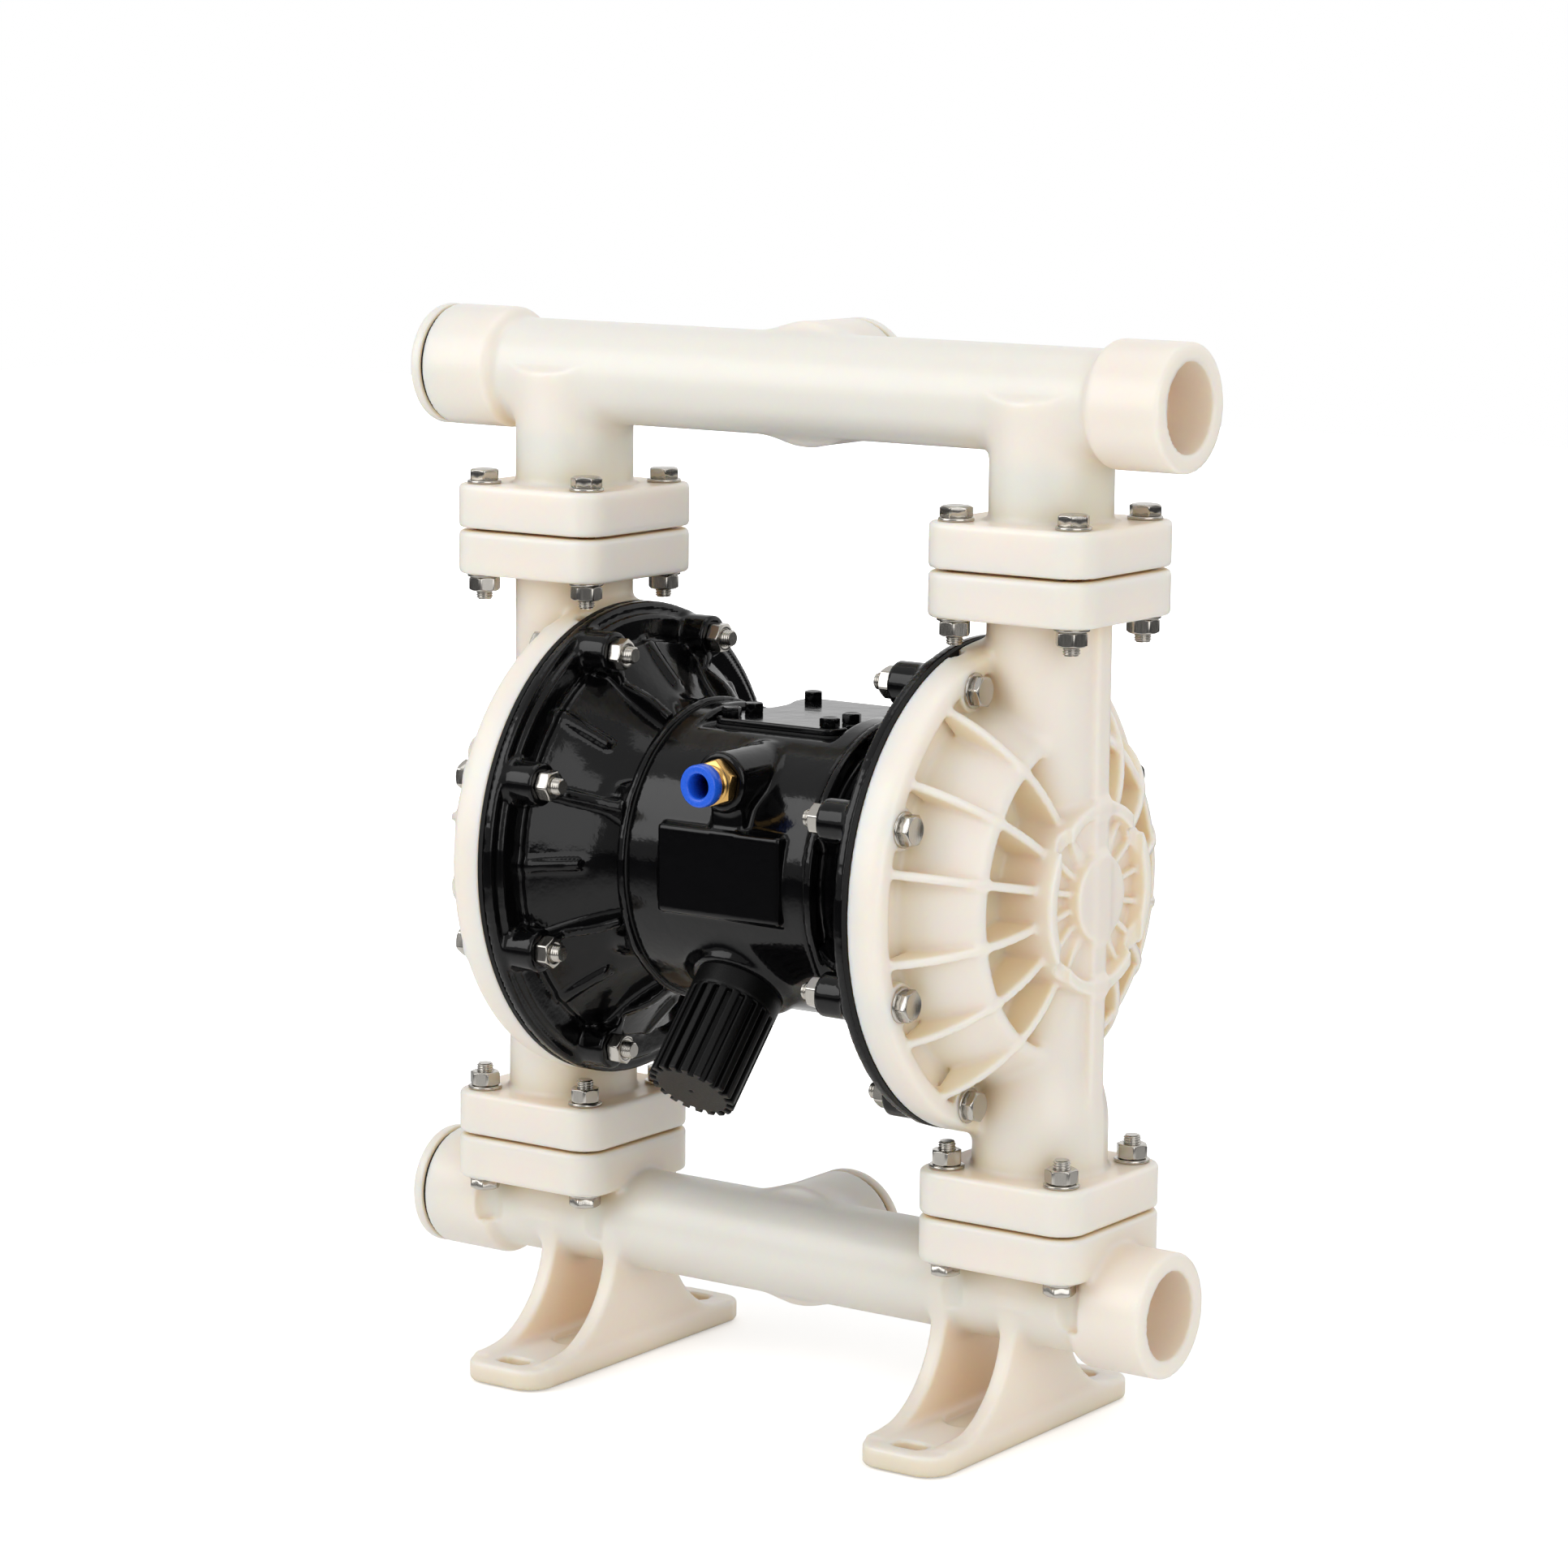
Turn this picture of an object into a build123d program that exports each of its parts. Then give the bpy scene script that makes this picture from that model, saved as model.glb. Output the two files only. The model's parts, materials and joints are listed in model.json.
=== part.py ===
from build123d import *
import os
from math import cos, radians, sin, sqrt

# Air operated double diaphragm pump, millimetres, +Z up, X along the diaphragm axis,
# -Y is the front with the air inlet. The origin lies on the floor under the pump's centre.

# ---------------------------------------------------------------- overall layout
bolt_circle_diameter = 250.0  # chamber bolts, around the diaphragm axis
clamp_margin = 14.0           # bolt circle to the rim of the clamping flange
column_offset = 164.3         # diaphragm centre plane to the axis of each check-valve column
joint_offset = 126.0          # centre plane to the face where a chamber clamps its diaphragm
suction_axis_z = 84.0         # floor to the lower pipe's axis
suction_neck = 47.1           # lower pipe's axis to the flange joint above it
lower_column_length = 42.9    # lower flange joint to the rim of the clamping flange
upper_column_length = 40.9    # rim of the clamping flange to the upper flange joint
discharge_neck = 91.9         # upper flange joint to the upper pipe's axis

clamp_radius = bolt_circle_diameter / 2 + clamp_margin
suction_joint_z = suction_axis_z + suction_neck      # middle of the gap between the lower flanges
axis_height = suction_joint_z + lower_column_length + clamp_radius
discharge_joint_z = axis_height + clamp_radius + upper_column_length
discharge_axis_z = discharge_joint_z + discharge_neck

# ---------------------------------------------------------------- clearances
seat_gap = 0.3                # a curved face and the piece that rests near it
running_clearance = 0.04      # radial, shaft or spool in its bore
slip_clearance = 0.2          # radial, a plug or seat dropped into its recess
hole_clearance = 0.5          # radial, bolt in a plain hole

# ---------------------------------------------------------------- M10 and M6 fasteners
bolt_diameter = 10.0
bolt_head_flats = 16.0
bolt_head_height = 6.4
nut_height = 8.4
washer_diameter = 20.0
washer_thickness = 2.0
flange_bolt_length = 70.0     # under the head
chamber_bolt_length = 65.0
cover_screw_diameter = 6.0
cover_screw_flats = 10.0
cover_screw_head = 5.5
cover_screw_depth = 14.0
block_screw_diameter = 8.0

# ---------------------------------------------------------------- square flanges of the columns
flange_width = 106.0
flange_corner = 17.0
flange_thickness = 25.6
flange_gap = 1.5
flange_bolt_pitch = 75.0

# ---------------------------------------------------------------- check valves
ball_diameter = 46.0
ball_lift = 12.0
seat_throat_diameter = 30.0
seat_mouth_diameter = 40.0
seat_diameter = 66.0
seat_recess_depth = 5.0
seat_face_gap = 0.5           # seal ring standing out of the seat's face
seal_groove_depth = 2.1
seal_margin = 1.0             # seat's rim to the seal ring
seal_width = 2.0
cage_bore_margin = 4.0        # seat's rim to the wall of the cage bore
cage_rib_count = 4
cage_rib_width = 5.0
cage_rib_clearance = 0.4      # ball to guide rib
passage_diameter = 42.0       # liquid passage past the cage

# ---------------------------------------------------------------- manifolds
pipe_diameter = 59.0
pipe_bore_diameter = 44.0
port_boss_diameter = 71.0
port_boss_start = 206.0       # centre plane to the shoulder of a port boss
port_boss_end = 251.0
port_bore_diameter = 50.2     # socket for a 50 mm pipe
port_bore_depth = 30.0
back_boss_end = 48.0
neck_diameter = 69.0
shoulder_length = 5.0

# ---------------------------------------------------------------- feet
foot_offset = 139.0
foot_width = 56.0
foot_length = 212.0
foot_thickness = 12.0
foot_corner = 16.0
foot_web_thickness = 10.0
foot_web_radius = 62.0
foot_stem_width = 54.5        # webs where they meet the pipe, clear of the washers
foot_recess_length = 86.0
foot_recess_width = 28.0
foot_recess_depth = 3.0
foot_slot_pitch = 178.0       # between the two slots of one foot
foot_slot_width = 13.0
foot_slot_length = 21.0

# ---------------------------------------------------------------- port plugs
plug_flange_thickness = 7.0
plug_gap = 2.2                # left for the O-ring under the plug's flange
plug_spigot_length = 18.0
plug_ring_outer_diameter = 67.0

# ---------------------------------------------------------------- fluid chambers
clamp_flange_thickness = 20.3
clamp_edge_radius = 10.0
clamp_bolt_count = 8
ledge_depth = 6.0             # pocket floor below the bolt seats
ledge_margin = 11.5           # rim of the clamping flange to the pocket
ledge_width = 14.5
ring_height = 57.0            # ring rib above the joint face, at its inner edge
ring_slope = 2.5              # fall of the ring rib's top across its thickness
ring_margin = 32.0            # bolt circle to the ring rib
ring_thickness = 6.0
pocket_height = 42.0          # floor of the inner pockets above the joint face
rib_crest_height = 55.5       # outline of a rib, where it crosses the ring rib
rib_crest_rise = 2.0          # how far outside the ring rib that point lies
hub_radius = 53.5
hub_inner_radius = 46.5
hub_height = 76.0
hub_floor_height = 66.0
disc_radius = 24.0
disc_height = 76.0
rib_count = 16
rib_thickness = 5.0
spoke_thickness = 4.0
spoke_height = 71.5
chamber_wall = 7.0
cavity_margin = 16.0          # bolt circle to the pumping chamber
cavity_depth = 35.0
column_diameter = 69.0
column_waist_diameter = 65.0
cage_wall = 9.0               # column wall around the cage bore
fin_width = 14.5
fin_height = 2.8
bolt_seat_diameter = 24.0

# ---------------------------------------------------------------- air chambers
air_depth = 61.0              # diaphragm face to the centre block's gasket
air_rim_thickness = 6.0
air_rim_margin = 7.0          # bolt circle to the rim's step, outwards
air_band_thickness = 9.0
air_band_margin = 9.0         # bolt circle to the band's step, inwards
web_depth = 14.0              # outer face of the web at the band, from the diaphragm
web_end_depth = 52.0          # and where it meets the neck
web_bow = 3.0                 # how far the web is dished below a straight cone
neck_step = 9.0               # neck ring above the neck
neck_ring_overlap = 2.0       # neck ring above the centre block
neck_ring_length = 5.0
air_cavity_margin = 15.0      # bolt circle to the working face behind the diaphragm
air_floor_depth = 24.0
air_floor_radius = 70.0
air_core_inner_radius = 46.0
air_core_outer_radius = 70.0
air_core_wall = 8.0
nut_boss_diameter = 25.0
nut_seat_depth = 25.8         # diaphragm face to the seat of a chamber nut
air_rib_thickness = 6.0
rib_root = 2.0                # how far a rib is buried in the wall that carries it
rib_start_margin = 4.0        # band's step to the outer end of a rib
rib_shelf = 6.0               # flat of a long rib beside its nut boss
rib_shoulder_depth = 43.5     # long rib's shoulder, from the diaphragm face
rib_shoulder_rise = 19.0      # and above the neck
rib_end_gap = 2.0             # long rib to the neck ring
gusset_start = 1.0            # short rib above the web at the band
gusset_crest_depth = 33.0     # short rib's crest, from the diaphragm face
gusset_crest_rise = 16.0      # and above the neck
gusset_end_depth = 39.0
cast_boss_diameter = 26.0
cast_boss_count = 6
cast_boss_margin = 12.0       # centre block's rim to the middle of a cast boss
cast_boss_start = 34.0
screw_head_diameter = 13.0
screw_head_height = 8.0
screw_head_depth = 30.0       # diaphragm face to the seat of a block screw
screw_length_in_block = 18.0
pilot_hole_diameter = 10.0

# ---------------------------------------------------------------- centre block
block_radius = 86.0
gasket_thickness = 1.0
top_flat_drop = 9.0           # machined top flat below the top of the block's round
top_flat_half_length = 47.0
valve_house_back = 74.0       # diaphragm axis to the back of the valve housing
valve_house_half_length = 52.0
cover_thickness = 4.0
cover_ear_radius = 8.5
cover_screw_offset = 34.0     # screws either side of the centre plane
cover_screw_rows = (-22.0, 0.0, 60.0)
cover_margin = 2.5            # plate edge outside the screw lines, between the ears
plenum_half_length = 26.0
plenum_front = -10.0
plenum_back = 50.0
plenum_floor = 50.0
pad_offset = 4.8              # nameplate pad's middle from the centre plane
pad_half_length = 41.8
pad_top = 28.5
pad_bottom = -21.4
pad_height = 3.0              # nameplate pad in front of the block's round
block_wall = 11.0
block_core_inner_radius = 46.0
block_core_depth = 38.0
block_core_top = -12.0

# ---------------------------------------------------------------- air valve and pilot
valve_bore_y = 19.0
valve_bore_z = 46.0
sleeve_diameter = 30.0
sleeve_length = 106.0
sleeve_port_pitch = 18.0
sleeve_port_diameter = 8.0
spool_diameter = 20.0
spool_groove_diameter = 13.0
spool_length = 92.0
pilot_y = -30.0
pilot_z = 22.0
pilot_diameter = 8.0
pilot_bush_diameter = 14.0

# ---------------------------------------------------------------- shaft and diaphragms
stroke = 10.0                 # each way from the middle
shaft_diameter = 25.0
shaft_end_diameter = 16.0
bush_diameter = 34.0
bush_length = 24.0
shaft_seal_width = 5.0
clamped_thickness = 3.0       # diaphragm edge between the two chambers
diaphragm_thickness = 3.5
clamp_plate_radius = 62.0
inner_plate_thickness = 8.0
outer_plate_thickness = 10.0
plate_nut_radius = 17.0
plate_nut_height = 6.0
roll_rise = 12.0              # height of the diaphragm's rolled ring

# ---------------------------------------------------------------- air inlet and silencer
inlet_x = 8.0
inlet_z = 57.0
inlet_boss_diameter = 33.6
inlet_boss_height = 6.0       # end of the boss in front of the block's round
inlet_web_width = 23.0        # web from the boss down to the nameplate pad
inlet_web_setback = 3.0       # pad's face to the web's face
inlet_thread_diameter = 21.0
inlet_thread_depth = 14.0
fitting_hex_flats = 24.0
fitting_hex_length = 7.5
fitting_collar_diameter = 20.0
fitting_collar_length = 4.5
tube_bore_diameter = 14.0
collet_diameter = 24.0
collet_length = 7.4
collet_stem_diameter = 17.0
collet_travel = 1.2
muffler_angle = 48.0          # below the horizontal, towards the front
muffler_seat_height = 2.0     # silencer's seat outside the block's round
muffler_diameter = 52.0
muffler_length = 70.0
muffler_collar_length = 14.0
muffler_thread_diameter = 33.0
muffler_thread_length = 16.0
muffler_bore_diameter = 26.0
muffler_end_wall = 5.0
exhaust_bore_diameter = 20.0
flute_width = 3.5
flute_count = 20
flute_depth = 4.5

# ---------------------------------------------------------------- derived places
ledge_outer_radius = clamp_radius - ledge_margin
ledge_inner_radius = ledge_outer_radius - ledge_width
ring_outer_radius = bolt_circle_diameter / 2 - ring_margin
ring_inner_radius = ring_outer_radius - ring_thickness
cavity_radius = bolt_circle_diameter / 2 - cavity_margin
air_rim_inner_radius = bolt_circle_diameter / 2 + air_rim_margin
air_band_inner_radius = bolt_circle_diameter / 2 - air_band_margin
air_cavity_radius = bolt_circle_diameter / 2 - air_cavity_margin
neck_ring_radius = block_radius + neck_ring_overlap
neck_radius = neck_ring_radius - neck_step
cast_boss_circle = 2 * (block_radius - cast_boss_margin)
top_flat_height = block_radius - top_flat_drop
pad_front = block_radius + pad_height
block_core_outer_radius = block_radius - block_wall
inlet_boss_end = block_radius + inlet_boss_height
muffler_start = block_radius + muffler_seat_height
diaphragm_x = joint_offset - clamped_thickness / 2
air_face_x = joint_offset - clamped_thickness
block_end_x = air_face_x - air_depth - gasket_thickness
ball_radius = ball_diameter / 2
seat_half_height = seat_recess_depth + flange_gap / 2 - seat_face_gap
ball_rest_height = seat_half_height + (ball_radius + seat_gap) * sqrt(2) - seat_mouth_diameter / 2
finger_radius = 12.0
finger_thickness = 6.0
finger_height = (
    ball_rest_height + ball_lift + seat_gap + sqrt(ball_radius**2 - finger_radius**2)
)
cage_height = finger_height + finger_thickness
column_sides = (-column_offset, column_offset)
seal_outer_diameter = seat_diameter - 2 * seal_margin
seal_inner_diameter = seal_outer_diameter - 2 * seal_width
cage_bore_diameter = seat_diameter - 2 * cage_bore_margin
cage_bulge_diameter = cage_bore_diameter + 2 * cage_wall
joint_heights = (discharge_joint_z, suction_joint_z)
bolt_angles = 360 / clamp_bolt_count / 2
upper_face = discharge_joint_z - axis_height - flange_gap / 2
lower_face = suction_joint_z - axis_height + flange_gap / 2
# where each square flange of a column starts, and how far it reaches inwards
column_flanges = (
    (axis_height + upper_face, -flange_thickness),
    (axis_height + lower_face, flange_thickness),
)
muffler_direction = (0, -cos(radians(muffler_angle)), -sin(radians(muffler_angle)))

pump_axis = Axis((0, 0, axis_height), (1, 0, 0))
column_axis = Axis((column_offset, 0, 0), (0, 0, 1))


def across(x):
    """Plane square to the pump axis: local x is +Y, local y is up."""
    return Plane(origin=(x, 0, axis_height), x_dir=(0, 1, 0), z_dir=(1, 0, 0))


def outward_profile(x):
    """Half section through the pump axis: local x runs outwards (+X), local y is the radius."""
    return Plane(origin=(x, 0, axis_height), x_dir=(1, 0, 0), z_dir=(0, -1, 0))


def inward_profile(x):
    """Half section through the pump axis: local x runs to the pump's centre (-X), local y is the radius."""
    return Plane(origin=(x, 0, axis_height), x_dir=(-1, 0, 0), z_dir=(0, 1, 0))


def along_muffler(distance):
    """Plane square to the silencer's axis, at a distance from the pump axis."""
    origin = (0, distance * muffler_direction[1], axis_height + distance * muffler_direction[2])
    return Plane(origin=origin, x_dir=(1, 0, 0), z_dir=muffler_direction)


parts = {}


# ================================================================ ball cage, shared by both columns
# Four guide ribs with inward fingers that stop the ball, standing on the flange joint.
with BuildPart() as ball_cage:
    guide_inner = ball_radius + cage_rib_clearance
    cage_outer = cage_bore_diameter / 2 + 1
    for turn in range(cage_rib_count):
        angle = (turn + 0.5) * 360 / cage_rib_count
        with BuildSketch(Plane.XZ.rotated((0, 0, angle))):
            with BuildLine():
                Polyline(
                    (guide_inner, flange_gap / 2 + seat_recess_depth),
                    (cage_outer, flange_gap / 2 + seat_recess_depth),
                    (cage_outer, cage_height),
                    (finger_radius, cage_height),
                    (finger_radius, finger_height),
                    (guide_inner, finger_height),
                    close=True,
                )
            make_face()
        extrude(amount=cage_rib_width / 2, both=True)


# ================================================================ fluid chambers
with BuildPart() as chamber_rib:
    with BuildSketch(outward_profile(joint_offset)):
        with BuildLine():
            rib_start = (clamp_flange_thickness, ledge_outer_radius + 2)
            rib_end = (hub_height - 1, hub_radius - 2)
            rib_crest = (rib_crest_height, ring_outer_radius + rib_crest_rise)
            ThreePointArc(rib_start, rib_crest, rib_end)
            Polyline(
                rib_end,
                (pocket_height - chamber_wall / 2, hub_radius - 2),
                (ledge_depth, ledge_outer_radius + 2),
                rib_start,
            )
        make_face()
    extrude(amount=rib_thickness / 2, both=True)

with BuildPart() as hub_spoke:
    with BuildSketch(outward_profile(joint_offset)):
        with Locations(((hub_floor_height + spoke_height) / 2 - 1, (disc_radius + hub_inner_radius) / 2)):
            Rectangle(spoke_height - hub_floor_height + 2, hub_inner_radius - disc_radius + 3)
    extrude(amount=spoke_thickness / 2, both=True)

with BuildPart() as right_fluid_chamber:
    # clamping flange, dome, ring rib and hub, turned about the pump axis
    with BuildSketch(outward_profile(joint_offset)):
        ledge = clamp_flange_thickness - ledge_depth
        with BuildLine():
            Polyline(
                (0, 0),
                (0, clamp_radius),
                (clamp_flange_thickness - clamp_edge_radius, clamp_radius),
            )
            RadiusArc(
                (clamp_flange_thickness - clamp_edge_radius, clamp_radius),
                (clamp_flange_thickness, clamp_radius - clamp_edge_radius),
                clamp_edge_radius,
            )
            Polyline(
                (clamp_flange_thickness, clamp_radius - clamp_edge_radius),
                (clamp_flange_thickness, ledge_outer_radius),
                (ledge, ledge_outer_radius),
                (ledge, ledge_inner_radius),
            )
            ThreePointArc(
                (ledge, ledge_inner_radius),
                ((ledge + ring_height) / 2 + 3, (ledge_inner_radius + ring_outer_radius) / 2 + 2),
                (ring_height - ring_slope, ring_outer_radius),
            )
            Polyline(
                (ring_height - ring_slope, ring_outer_radius),
                (ring_height, ring_inner_radius),
                (pocket_height, ring_inner_radius - 1),
                (pocket_height, hub_radius + 1),
                (hub_height, hub_radius),
                (hub_height, hub_inner_radius),
                (hub_floor_height, hub_inner_radius - 1),
                (hub_floor_height, disc_radius + 1),
                (disc_height, disc_radius),
                (disc_height, 0),
                (0, 0),
            )
        make_face()
    revolve(axis=pump_axis)
    for number in range(rib_count):
        add(chamber_rib.part.rotate(pump_axis, (number + 0.5) * 360 / rib_count))
        add(hub_spoke.part.rotate(pump_axis, (number + 0.5) * 360 / rib_count))
    # flat seats for the bolt heads
    with BuildSketch(across(joint_offset)):
        with PolarLocations(bolt_circle_diameter / 2, clamp_bolt_count, start_angle=bolt_angles):
            Circle(bolt_seat_diameter / 2)
    extrude(amount=clamp_flange_thickness)
    # check-valve column with its waist and the ball cage's bulge
    with BuildSketch(Plane(origin=(column_offset, 0, axis_height), x_dir=(1, 0, 0), z_dir=(0, -1, 0))):
        bulge_top = lower_face + cage_height + 4
        with BuildLine():
            Polyline(
                (0, lower_face),
                (cage_bulge_diameter / 2, lower_face),
                (cage_bulge_diameter / 2, bulge_top),
                (column_waist_diameter / 2, bulge_top + 18),
                (column_waist_diameter / 2, -hub_radius),
                (column_diameter / 2, hub_radius),
                (column_diameter / 2, upper_face),
                (0, upper_face),
                close=True,
            )
        make_face()
    revolve(axis=column_axis)
    # shallow fin down the outside of the column
    with BuildSketch(Plane.XY.offset(axis_height + lower_face)):
        with Locations((column_offset + column_diameter / 4 + fin_height / 2, 0)):
            Rectangle(column_diameter / 2 + fin_height, fin_width)
    extrude(amount=upper_face - lower_face - flange_thickness / 2)
    # square flanges at both ends of the column
    for height, reach in column_flanges:
        with BuildSketch(Plane.XY.offset(height)):
            with Locations((column_offset, 0)):
                RectangleRounded(flange_width, flange_width, flange_corner)
        extrude(amount=reach)
    # pumping chamber behind the diaphragm
    with BuildSketch(outward_profile(joint_offset)):
        with BuildLine():
            Polyline((0, 0), (0, cavity_radius), (ledge_depth + 4, cavity_radius - 2))
            ThreePointArc(
                (ledge_depth + 4, cavity_radius - 2),
                (cavity_depth - chamber_wall, cavity_radius - 11),
                (cavity_depth, cavity_radius - 25),
            )
            Polyline((cavity_depth, cavity_radius - 25), (cavity_depth, 0), (0, 0))
        make_face()
    revolve(axis=pump_axis, mode=Mode.SUBTRACT)
    # passages, cage bore and seat recesses along the column
    with BuildSketch(Plane.XY.offset(axis_height + lower_face)):
        with Locations((column_offset, 0)):
            Circle(passage_diameter / 2)
    extrude(amount=upper_face - lower_face, mode=Mode.SUBTRACT)
    with BuildSketch(Plane.XY.offset(axis_height + lower_face)):
        with Locations((column_offset, 0)):
            Circle(cage_bore_diameter / 2)
    extrude(amount=cage_height - flange_gap / 2, mode=Mode.SUBTRACT)
    add(ball_cage.part.moved(Location((column_offset, 0, suction_joint_z))))
    for height, reach in column_flanges:
        with BuildSketch(Plane.XY.offset(height)):
            with Locations((column_offset, 0)):
                Circle(seat_diameter / 2 + slip_clearance)
        extrude(amount=reach * seat_recess_depth / flange_thickness, mode=Mode.SUBTRACT)
    # bolt holes through the square flanges and the clamping flange
    for height, reach in column_flanges:
        with BuildSketch(Plane.XY.offset(height)):
            with Locations((column_offset, 0)):
                with GridLocations(flange_bolt_pitch, flange_bolt_pitch, 2, 2):
                    Circle(bolt_diameter / 2 + hole_clearance)
        extrude(amount=reach, mode=Mode.SUBTRACT)
    with BuildSketch(across(joint_offset)):
        with PolarLocations(bolt_circle_diameter / 2, clamp_bolt_count, start_angle=bolt_angles):
            Circle(bolt_diameter / 2 + hole_clearance)
    extrude(amount=clamp_flange_thickness, mode=Mode.SUBTRACT)

with BuildPart() as left_fluid_chamber:
    mirror(right_fluid_chamber.part, about=Plane.YZ)

parts["right_fluid_chamber"] = right_fluid_chamber
parts["left_fluid_chamber"] = left_fluid_chamber

# ================================================================ air chambers
with BuildPart() as air_rib:
    with BuildSketch(inward_profile(air_face_x)):
        with BuildLine():
            rib_start = air_band_inner_radius - rib_start_margin
            rib_end = air_depth - neck_ring_length - rib_end_gap
            Polyline(
                (web_depth - rib_root, rib_start),
                (nut_seat_depth + 1, rib_start),
                (nut_seat_depth + 1, rib_start - rib_shelf),
                (rib_shoulder_depth, neck_radius + rib_shoulder_rise),
                (rib_end, neck_ring_radius),
                (rib_end, neck_radius - rib_root),
                (web_depth - rib_root, neck_radius - rib_root),
                close=True,
            )
        make_face()
    extrude(amount=air_rib_thickness / 2, both=True)

with BuildPart() as air_web_gusset:
    with BuildSketch(inward_profile(air_face_x)):
        with BuildLine():
            Polyline(
                (web_depth - rib_root, air_band_inner_radius - rib_root),
                (web_depth + gusset_start, air_band_inner_radius - rib_root),
                (gusset_crest_depth, neck_radius + gusset_crest_rise),
                (gusset_end_depth, neck_radius - rib_root),
                (web_depth - rib_root, neck_radius - rib_root),
                close=True,
            )
        make_face()
    extrude(amount=air_rib_thickness / 2, both=True)

with BuildPart() as right_air_chamber:
    # rim, web and neck, turned about the pump axis
    with BuildSketch(inward_profile(air_face_x)):
        with BuildLine():
            Polyline(
                (0, 0),
                (0, clamp_radius),
                (air_rim_thickness, clamp_radius),
                (air_rim_thickness, air_rim_inner_radius),
                (air_band_thickness, air_rim_inner_radius),
                (air_band_thickness, air_band_inner_radius),
                (web_depth, air_band_inner_radius),
            )
            web_start = Vector(web_depth, air_band_inner_radius)
            web_end = Vector(web_end_depth, neck_radius)
            dish = Vector(web_start.Y - web_end.Y, web_end.X - web_start.X).normalized() * web_bow
            ThreePointArc(web_start, (web_start + web_end) / 2 - dish, web_end)
            Polyline(
                (web_end_depth, neck_radius),
                (air_depth - neck_ring_length, neck_radius),
                (air_depth - neck_ring_length, neck_ring_radius),
                (air_depth, neck_ring_radius),
                (air_depth, 0),
                (0, 0),
            )
        make_face()
    revolve(axis=pump_axis)
    for number in range(clamp_bolt_count):
        add(air_rib.part.rotate(pump_axis, (number + 0.5) * 360 / clamp_bolt_count))
        add(air_web_gusset.part.rotate(pump_axis, number * 360 / clamp_bolt_count))
    # bosses that carry the chamber nuts
    with BuildSketch(across(air_face_x - nut_seat_depth)):
        with PolarLocations(bolt_circle_diameter / 2, clamp_bolt_count, start_angle=bolt_angles):
            Circle(nut_boss_diameter / 2)
    extrude(amount=nut_seat_depth - 1)
    # cast bosses around the screws into the centre block
    with BuildSketch(across(air_face_x - air_depth)):
        with PolarLocations(cast_boss_circle / 2, cast_boss_count, start_angle=cast_boss_start):
            Circle(cast_boss_diameter / 2)
    extrude(amount=air_depth - air_floor_depth)
    # working face behind the diaphragm
    with BuildSketch(inward_profile(air_face_x)):
        with BuildLine():
            Polyline(
                (0, 0),
                (0, air_cavity_radius),
                (air_floor_depth, air_floor_radius),
                (air_floor_depth, 0),
                close=True,
            )
        make_face()
    revolve(axis=pump_axis, mode=Mode.SUBTRACT)
    # cored ring behind the floor, and the shaft's clearance hole
    with BuildSketch(across(air_face_x - air_depth)):
        Circle(air_core_outer_radius - cast_boss_diameter / 4)
        Circle(air_core_inner_radius, mode=Mode.SUBTRACT)
    extrude(amount=air_depth - air_floor_depth - air_core_wall, mode=Mode.SUBTRACT)
    with BuildSketch(across(air_face_x - air_depth)):
        Circle(shaft_diameter / 2 + hole_clearance)
        with Locations((pilot_y, pilot_z)):
            Circle(pilot_hole_diameter / 2)
    extrude(amount=air_depth, mode=Mode.SUBTRACT)
    # chamber bolts and block screws
    with BuildSketch(across(air_face_x - nut_seat_depth)):
        with PolarLocations(bolt_circle_diameter / 2, clamp_bolt_count, start_angle=bolt_angles):
            Circle(bolt_diameter / 2 + hole_clearance)
    extrude(amount=nut_seat_depth, mode=Mode.SUBTRACT)
    with BuildSketch(across(air_face_x - air_depth)):
        with PolarLocations(cast_boss_circle / 2, cast_boss_count, start_angle=cast_boss_start):
            Circle(block_screw_diameter / 2 + hole_clearance)
    extrude(amount=air_depth, mode=Mode.SUBTRACT)
    with BuildSketch(across(air_face_x - screw_head_depth)):
        with PolarLocations(cast_boss_circle / 2, cast_boss_count, start_angle=cast_boss_start):
            Circle(screw_head_diameter / 2 + hole_clearance)
    extrude(amount=screw_head_depth, mode=Mode.SUBTRACT)

with BuildPart() as left_air_chamber:
    mirror(right_air_chamber.part, about=Plane.YZ)

parts["right_air_chamber"] = right_air_chamber
parts["left_air_chamber"] = left_air_chamber


# ================================================================ centre block
def inlet_plane(reach):
    """Plane square to the air inlet's axis, looking out of the front; reach is its distance in front."""
    return Plane(origin=(inlet_x, -reach, axis_height + inlet_z), x_dir=(1, 0, 0), z_dir=(0, -1, 0))


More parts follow.
